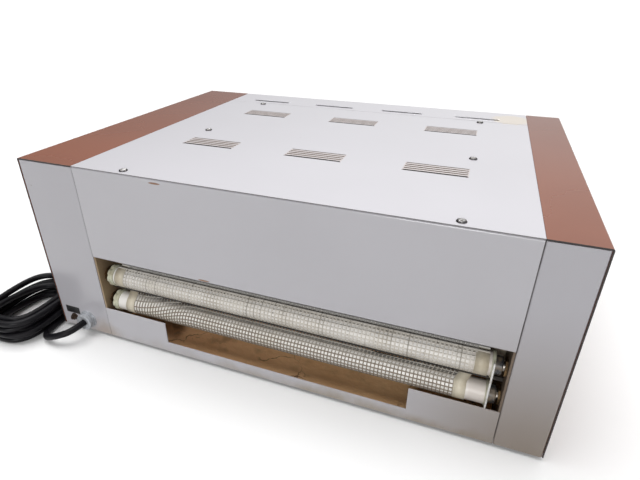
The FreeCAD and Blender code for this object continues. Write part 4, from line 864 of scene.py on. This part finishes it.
weft = result(tree, "GeometryNodeSetCurveTilt", {"Curve": weft, "Tilt": heading})
weft = {"Curve": weft, "Profile Curve": yarn, "Scale": swell, "Fill Caps": True}
weft = result(tree, "GeometryNodeCurveToMesh", weft)

# Flat bands close its edges, and the whole belt is drawn in and shifted on its way back.
flat = flat_yarn(reckon("MULTIPLY", inlet["Strand"], 1.6), inlet["Band"])
bands = {"Curve": rows_across(loop, band_middle, 2), "Profile Curve": flat}
bands = result(tree, "GeometryNodeCurveToMesh", bands)
bands = {"Geometry": bands, "Name": "band", "Value": True}
bands = result(tree, "GeometryNodeStoreNamedAttribute", bands, data_type="BOOLEAN", domain="FACE")
belt = tree.nodes.new("GeometryNodeJoinGeometry")
for part in (warp, weft, bands):
    tree.links.new(part, belt.inputs[0])
middle = at(belt_middle, 0.0, 0.0).x
lifted = ramp(place["Z"], 0.0653, 0.0788)
wide = reckon("SUBTRACT", place["X"], middle)
wide = reckon("MULTIPLY", wide, share(lifted, inlet["Return Share"], 1.0))
wide = reckon("ADD", wide, middle)
wide = reckon("ADD", wide, share(lifted, inlet["Return Drift"], 0.0))
uneven = reckon("SUBTRACT", noise(position, 14.0, 2.0)["Fac"], 0.5)
wide = reckon("ADD", wide, reckon("MULTIPLY", uneven, 0.003))
moved = xyz(tree, X=wide, Y=place["Y"], Z=place["Z"])
belt = result(tree, "GeometryNodeSetPosition", {"Geometry": belt.outputs[0], "Position": moved})
belt = finish_off(belt, inlet["Finish"])
banded = result(tree, "GeometryNodeInputNamedAttribute", {"Name": "band"}, data_type="BOOLEAN")
belt = {"Geometry": belt, "Selection": banded, "Material": inlet["Edge Finish"]}
belt = result(tree, "GeometryNodeSetMaterial", belt)
node(tree, "NodeGroupOutput", {"Geometry": belt})
mesh_belt = add_piece("mesh_belt", grow("mesh_belt", path_mesh, tree, belt_inputs))
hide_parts("conveyor_belt")

# Cable gland and earth stud: a nickel-plated brass gland with a hexagon body and a domed clamping nut, and
# a small brass stud with its nut and washer beside it, both through the left post. A blank plate is glued on
# above them.
plate_edge = 0.0002
nickel = mottled(
    "dull_nickel", {"Metallic": 0.45}, (180.0, 0.35, 0.75),
    ((0.50, 0.52, 0.55), (0.34, 0.35, 0.37)), (0.40, 0.6), (900.0, 0.12, 0.0003),
)


def on_gland(turn, y, radius, hexed):
    """A point of the gland, drawn in from a circle to a hexagon where it has flats."""
    flat = math.cos(math.pi / 6) / math.cos((turn + math.pi / 6) % (math.pi / 3) - math.pi / 6)
    reach = radius * (1 - hexed + hexed * flat)
    return at(gland_x + reach * math.cos(turn), y, gland_z + reach * math.sin(turn))


line = [(9.0, 7.6, 0), (8.6, 8.0, 0), (5.3, 8.0, 0), (5.3, 10.4, 1), (1.3, 10.4, 1), (1.3, 8.0, 0)]
line += [(0.0, 8.0, 0), (0.0, 12.5, 0), (-0.9, 12.5, 0), (-1.2, 12.3, 1), (-3.4, 12.3, 1), (-3.8, 11.2, 0)]
line += [(-4.0, 10.6, 0), (-4.4, 11.2, 0), (-8.6, 11.2, 0), (-9.4, 10.7, 0), (-9.8, 9.6, 0), (-9.8, 8.2, 0)]
line += [(-9.2, 7.6, 0), (-9.2, 5.6, 0), (-8.6, 4.4, 0), (9.0, 4.4, 0)]
gland = add_piece("cable_gland", round_piece("cable_gland", line, on_gland, (nickel,), 30, hollow=True))
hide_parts("gland_body", "gland_nuts")
stud_colours = ((0.11, 0.075, 0.055), (0.04, 0.028, 0.022))
tarnished = mottled("tarnished_brass", {"Metallic": 0.8}, (220.0, 0.35, 0.7), stud_colours, (0.4, 0.65))
dress(tarnished, "earth_terminal")


def slab(name, low, high, finish):
    """A thin plate or block with rounded edges, between two corners in millimetres."""
    made = bmesh.new()
    bmesh.ops.create_cube(made, size=1.0)
    low, high = at(*low), at(*high)
    for vert in made.verts:
        vert.co = [a + (part + 0.5) * (b - a) for part, a, b in zip(vert.co, low, high)]
    bmesh.ops.bevel(made, geom=made.edges[:], offset=plate_edge, segments=3, affect="EDGES", profile=0.5)
    bmesh.ops.recalc_face_normals(made, faces=made.faces)
    return add_piece(name, settle(name, made, (finish,), 40))


moulded = mottled(
    "black_moulding", {"Specular IOR Level": 0.45}, (70.0, 0.4, 0.78),
    ((0.014, 0.014, 0.015), (0.040, 0.038, 0.037)), (0.38, 0.58), (1300.0, 0.18, 0.0003),
)
slab("blank_plate", (10.0, -0.5, 25.6), (32.0, 0.0, 35.8), moulded)

# Plug: a black plug moulded on to the end of the lead, with a ribbed taper over the cable and grooves for the
# fingers in its sides. Two brass blades and a round pin stand out of its face.
plug_sides = 40
rib_pitch = 3.2
plug_rings = [(plug_start, 4.5, 4.5, 2.0)]
for k in range(6):
    y = plug_start + 1.0 + rib_pitch * k
    reach = 5.2 + 0.42 * k
    for ahead, more in ((0.0, 0.0), (1.9, 0.25), (2.1, -0.7), (3.0, -0.55)):
        plug_rings.append((y + ahead, reach + more, reach + more, 2.0))
plug_rings += [(126.6, 8.0, 8.0, 2.0), (128.0, 10.5, 9.2, 2.6), (130.0, 13.0, 10.4, 3.4)]
plug_rings += [(133.0, 13.9, 10.9, 4.0)]
for y in (137.0, 140.0, 143.0, 146.0):
    for ahead, wide in ((0.0, 13.9), (0.5, 13.3), (1.6, 13.3), (2.1, 13.9)):
        plug_rings.append((y + ahead, wide, 10.9, 4.5))
plug_rings += [(156.6, 14.0, 11.0, 5.0), (157.6, 13.7, 10.7, 5.0), (158.0, 13.0, 10.0, 5.0)]


def on_plug(turn, y, half_x, half_z, power):
    """A point of the plug, round at the cable and squarer towards the face."""
    cos, sin = math.cos(turn), math.sin(turn)
    x = math.copysign(abs(cos) ** (2 / power), cos) * half_x
    z = math.copysign(abs(sin) ** (2 / power), sin) * half_z
    return at(plug_x + x, y, plug_z + z)


plug_mesh = round_piece("moulded_plug", plug_rings, on_plug, (moulded,), 40, plug_sides)
moulded_plug = add_piece("moulded_plug", plug_mesh)
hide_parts("plug")
pin_colours = ((0.46, 0.33, 0.15), (0.12, 0.08, 0.04))
brass = mottled("dull_brass", {"Metallic": 1.0}, (220.0, 0.35, 0.7), pin_colours, (0.3, 0.55))
dress(brass, "plug_pins")

# Belt drive and electrics in the left bay: a small gear motor on a bracket, toothed aluminium pulleys and a
# rubber belt, two solid-state relays on the wall and a barrier strip on the base.
enamelled = mottled(
    "motor_enamel", {"Metallic": 0.2}, (60.0, 0.45, 0.78),
    ((0.10, 0.105, 0.11), (0.20, 0.19, 0.18)), (0.4, 0.6), (500.0, 0.15, 0.0003),
)
dress(enamelled, "gear_motor")
dress(zinc, "motor_bracket")
alloy_colours = ((0.72, 0.72, 0.73), (0.52, 0.52, 0.53))
alloy = mottled("cut_aluminium", {"Metallic": 1.0}, (300.0, 0.35, 0.7), alloy_colours, (0.28, 0.45))
dress(alloy, "motor_pulley", "roller_pulley")
dress(rubber, "drive_belt")
ivory_colours = ((0.62, 0.57, 0.45), (0.48, 0.40, 0.28))
ivory = mottled("ivory_moulding", {"Specular IOR Level": 0.4}, (50.0, 0.4, 0.8), ivory_colours, (0.4, 0.55))
dress(ivory, "terminal_block")
dress(moulded, "solid_state_relays", "speed_pot")

# Controls on the far end: two panel controllers, a speed knob with a scale, two push buttons and a rocker
# switch, all in moulded plastic and clipped or nutted into the control panel.
knob_x, knob_z = 345.0, 183.0
knob_sweep = math.radians(300)
bezel_y, window_y, key_y = 430.4, 431.0, 431.4
key_width = 7.5
dress(moulded, "preheat_controller", "reflow_controller", "power_switch_frame", "speed_knob", "button_bezels")


def coloured_moulding(name, colour, rubbed):
    """Glossy coloured plastic, rubbed paler where fingers press."""
    coat = {"Coat Weight": 0.3, "Coat Roughness": 0.1}
    return mottled(name, coat, (140.0, 0.4, 0.78), (colour, rubbed), (0.28, 0.45), (900.0, 0.08, 0.0002))


red = coloured_moulding("red_moulding", (0.40, 0.022, 0.016), (0.46, 0.06, 0.045))
green = coloured_moulding("green_moulding", (0.020, 0.24, 0.060), (0.05, 0.30, 0.10))
dress(red, "heater_button")
dress(green, "conveyor_button")
dress(coloured_moulding("rocker_moulding", (0.022, 0.022, 0.023), (0.05, 0.05, 0.05)), "power_switch_rocker")
window = coloured_moulding("dark_red_window", (0.060, 0.004, 0.004), (0.075, 0.008, 0.008))
grey_keys = coloured_moulding("grey_keys", (0.20, 0.20, 0.21), (0.28, 0.28, 0.28))
for name, x in (("preheat", 190.0), ("reflow", 256.0)):
    parts = [
        ("_upper_window", (x - 19.0, bezel_y, 191.0), (x + 15.0, window_y, 202.0), window),
        ("_lower_window", (x - 19.0, bezel_y, 178.0), (x + 15.0, window_y, 187.0), window),
        ("_lamp_high", (x + 17.0, bezel_y, 198.0), (x + 19.5, window_y, 200.5), red),
        ("_lamp_low", (x + 17.0, bezel_y, 192.0), (x + 19.5, window_y, 194.5), green),
    ]
    for key, start in (("_key_a", x - 18.5), ("_key_b", x - 8.2), ("_key_c", x + 2.1), ("_key_d", x + 12.4)):
        parts.append((key, (start, bezel_y, 164.0), (start + key_width, key_y, 169.5), grey_keys))
    for part, low, high, finish in parts:
        slab(name + part, low, high, finish)

tick_inputs = {
    "Ticks": ("Int", 11),
    "Reach": ("Float", 0.0185),
    "Length": ("Float", 0.0035),
    "Centre": ("Vector", at(knob_x, 422.1, knob_z)),
    "Finish": ("Material", moulded),
}
tree, inlet = shape_tree("speed_scale", tick_inputs)
row = result(tree, "GeometryNodeMeshLine", {"Count": inlet["Ticks"]})
sweep = reckon("SUBTRACT", inlet["Ticks"], 1.0)
sweep = reckon("DIVIDE", tree.nodes.new("GeometryNodeInputIndex").outputs[0], sweep)
sweep = reckon("MULTIPLY", reckon("SUBTRACT", 0.5, sweep), knob_sweep)
dial_x = reckon("MULTIPLY", reckon("SINE", sweep, 0.0), inlet["Reach"])
dial_z = reckon("MULTIPLY", reckon("COSINE", sweep, 0.0), inlet["Reach"])
dial = vector("ADD", xyz(tree, X=dial_x, Z=dial_z), inlet["Centre"])[0]
row = result(tree, "GeometryNodeSetPosition", {"Geometry": row, "Position": dial})
dash = result(tree, "GeometryNodeMeshCube", {"Size": xyz(tree, X=0.0007, Y=0.0003, Z=inlet["Length"])})
row = {"Points": row, "Instance": dash, "Rotation": xyz(tree, Y=sweep)}
row = result(tree, "GeometryNodeInstanceOnPoints", row)
node(tree, "NodeGroupOutput", {"Geometry": finish_off(row, inlet["Finish"])})
scale_mesh = grow("speed_scale", bpy.data.meshes.new("speed_scale"), tree, tick_inputs)
speed_scale = add_piece("speed_scale", scale_mesh)
marking = mottled(
    "white_marking", {"Roughness": 0.5, "Specular IOR Level": 0.3}, (200.0, 0.4, 0.8),
    ((0.80, 0.80, 0.78), (0.62, 0.61, 0.58)),
)
pointer = bmesh.new()
bmesh.ops.create_cube(pointer, size=1.0)
bmesh.ops.scale(pointer, vec=(0.0013, 0.0004, 0.0085), verts=pointer.verts)
bmesh.ops.translate(pointer, vec=(0.0, 0.0, 0.0092), verts=pointer.verts)
lean = Matrix.Rotation(knob_sweep / 2, 3, "Y")
bmesh.ops.rotate(pointer, cent=(0.0, 0.0, 0.0), matrix=lean, verts=pointer.verts)
bmesh.ops.translate(pointer, vec=at(knob_x, 442.6, knob_z), verts=pointer.verts)
pointer_mesh = settle("knob_pointer", pointer, (marking,))
add_piece("knob_pointer", pointer_mesh, "speed_knob")
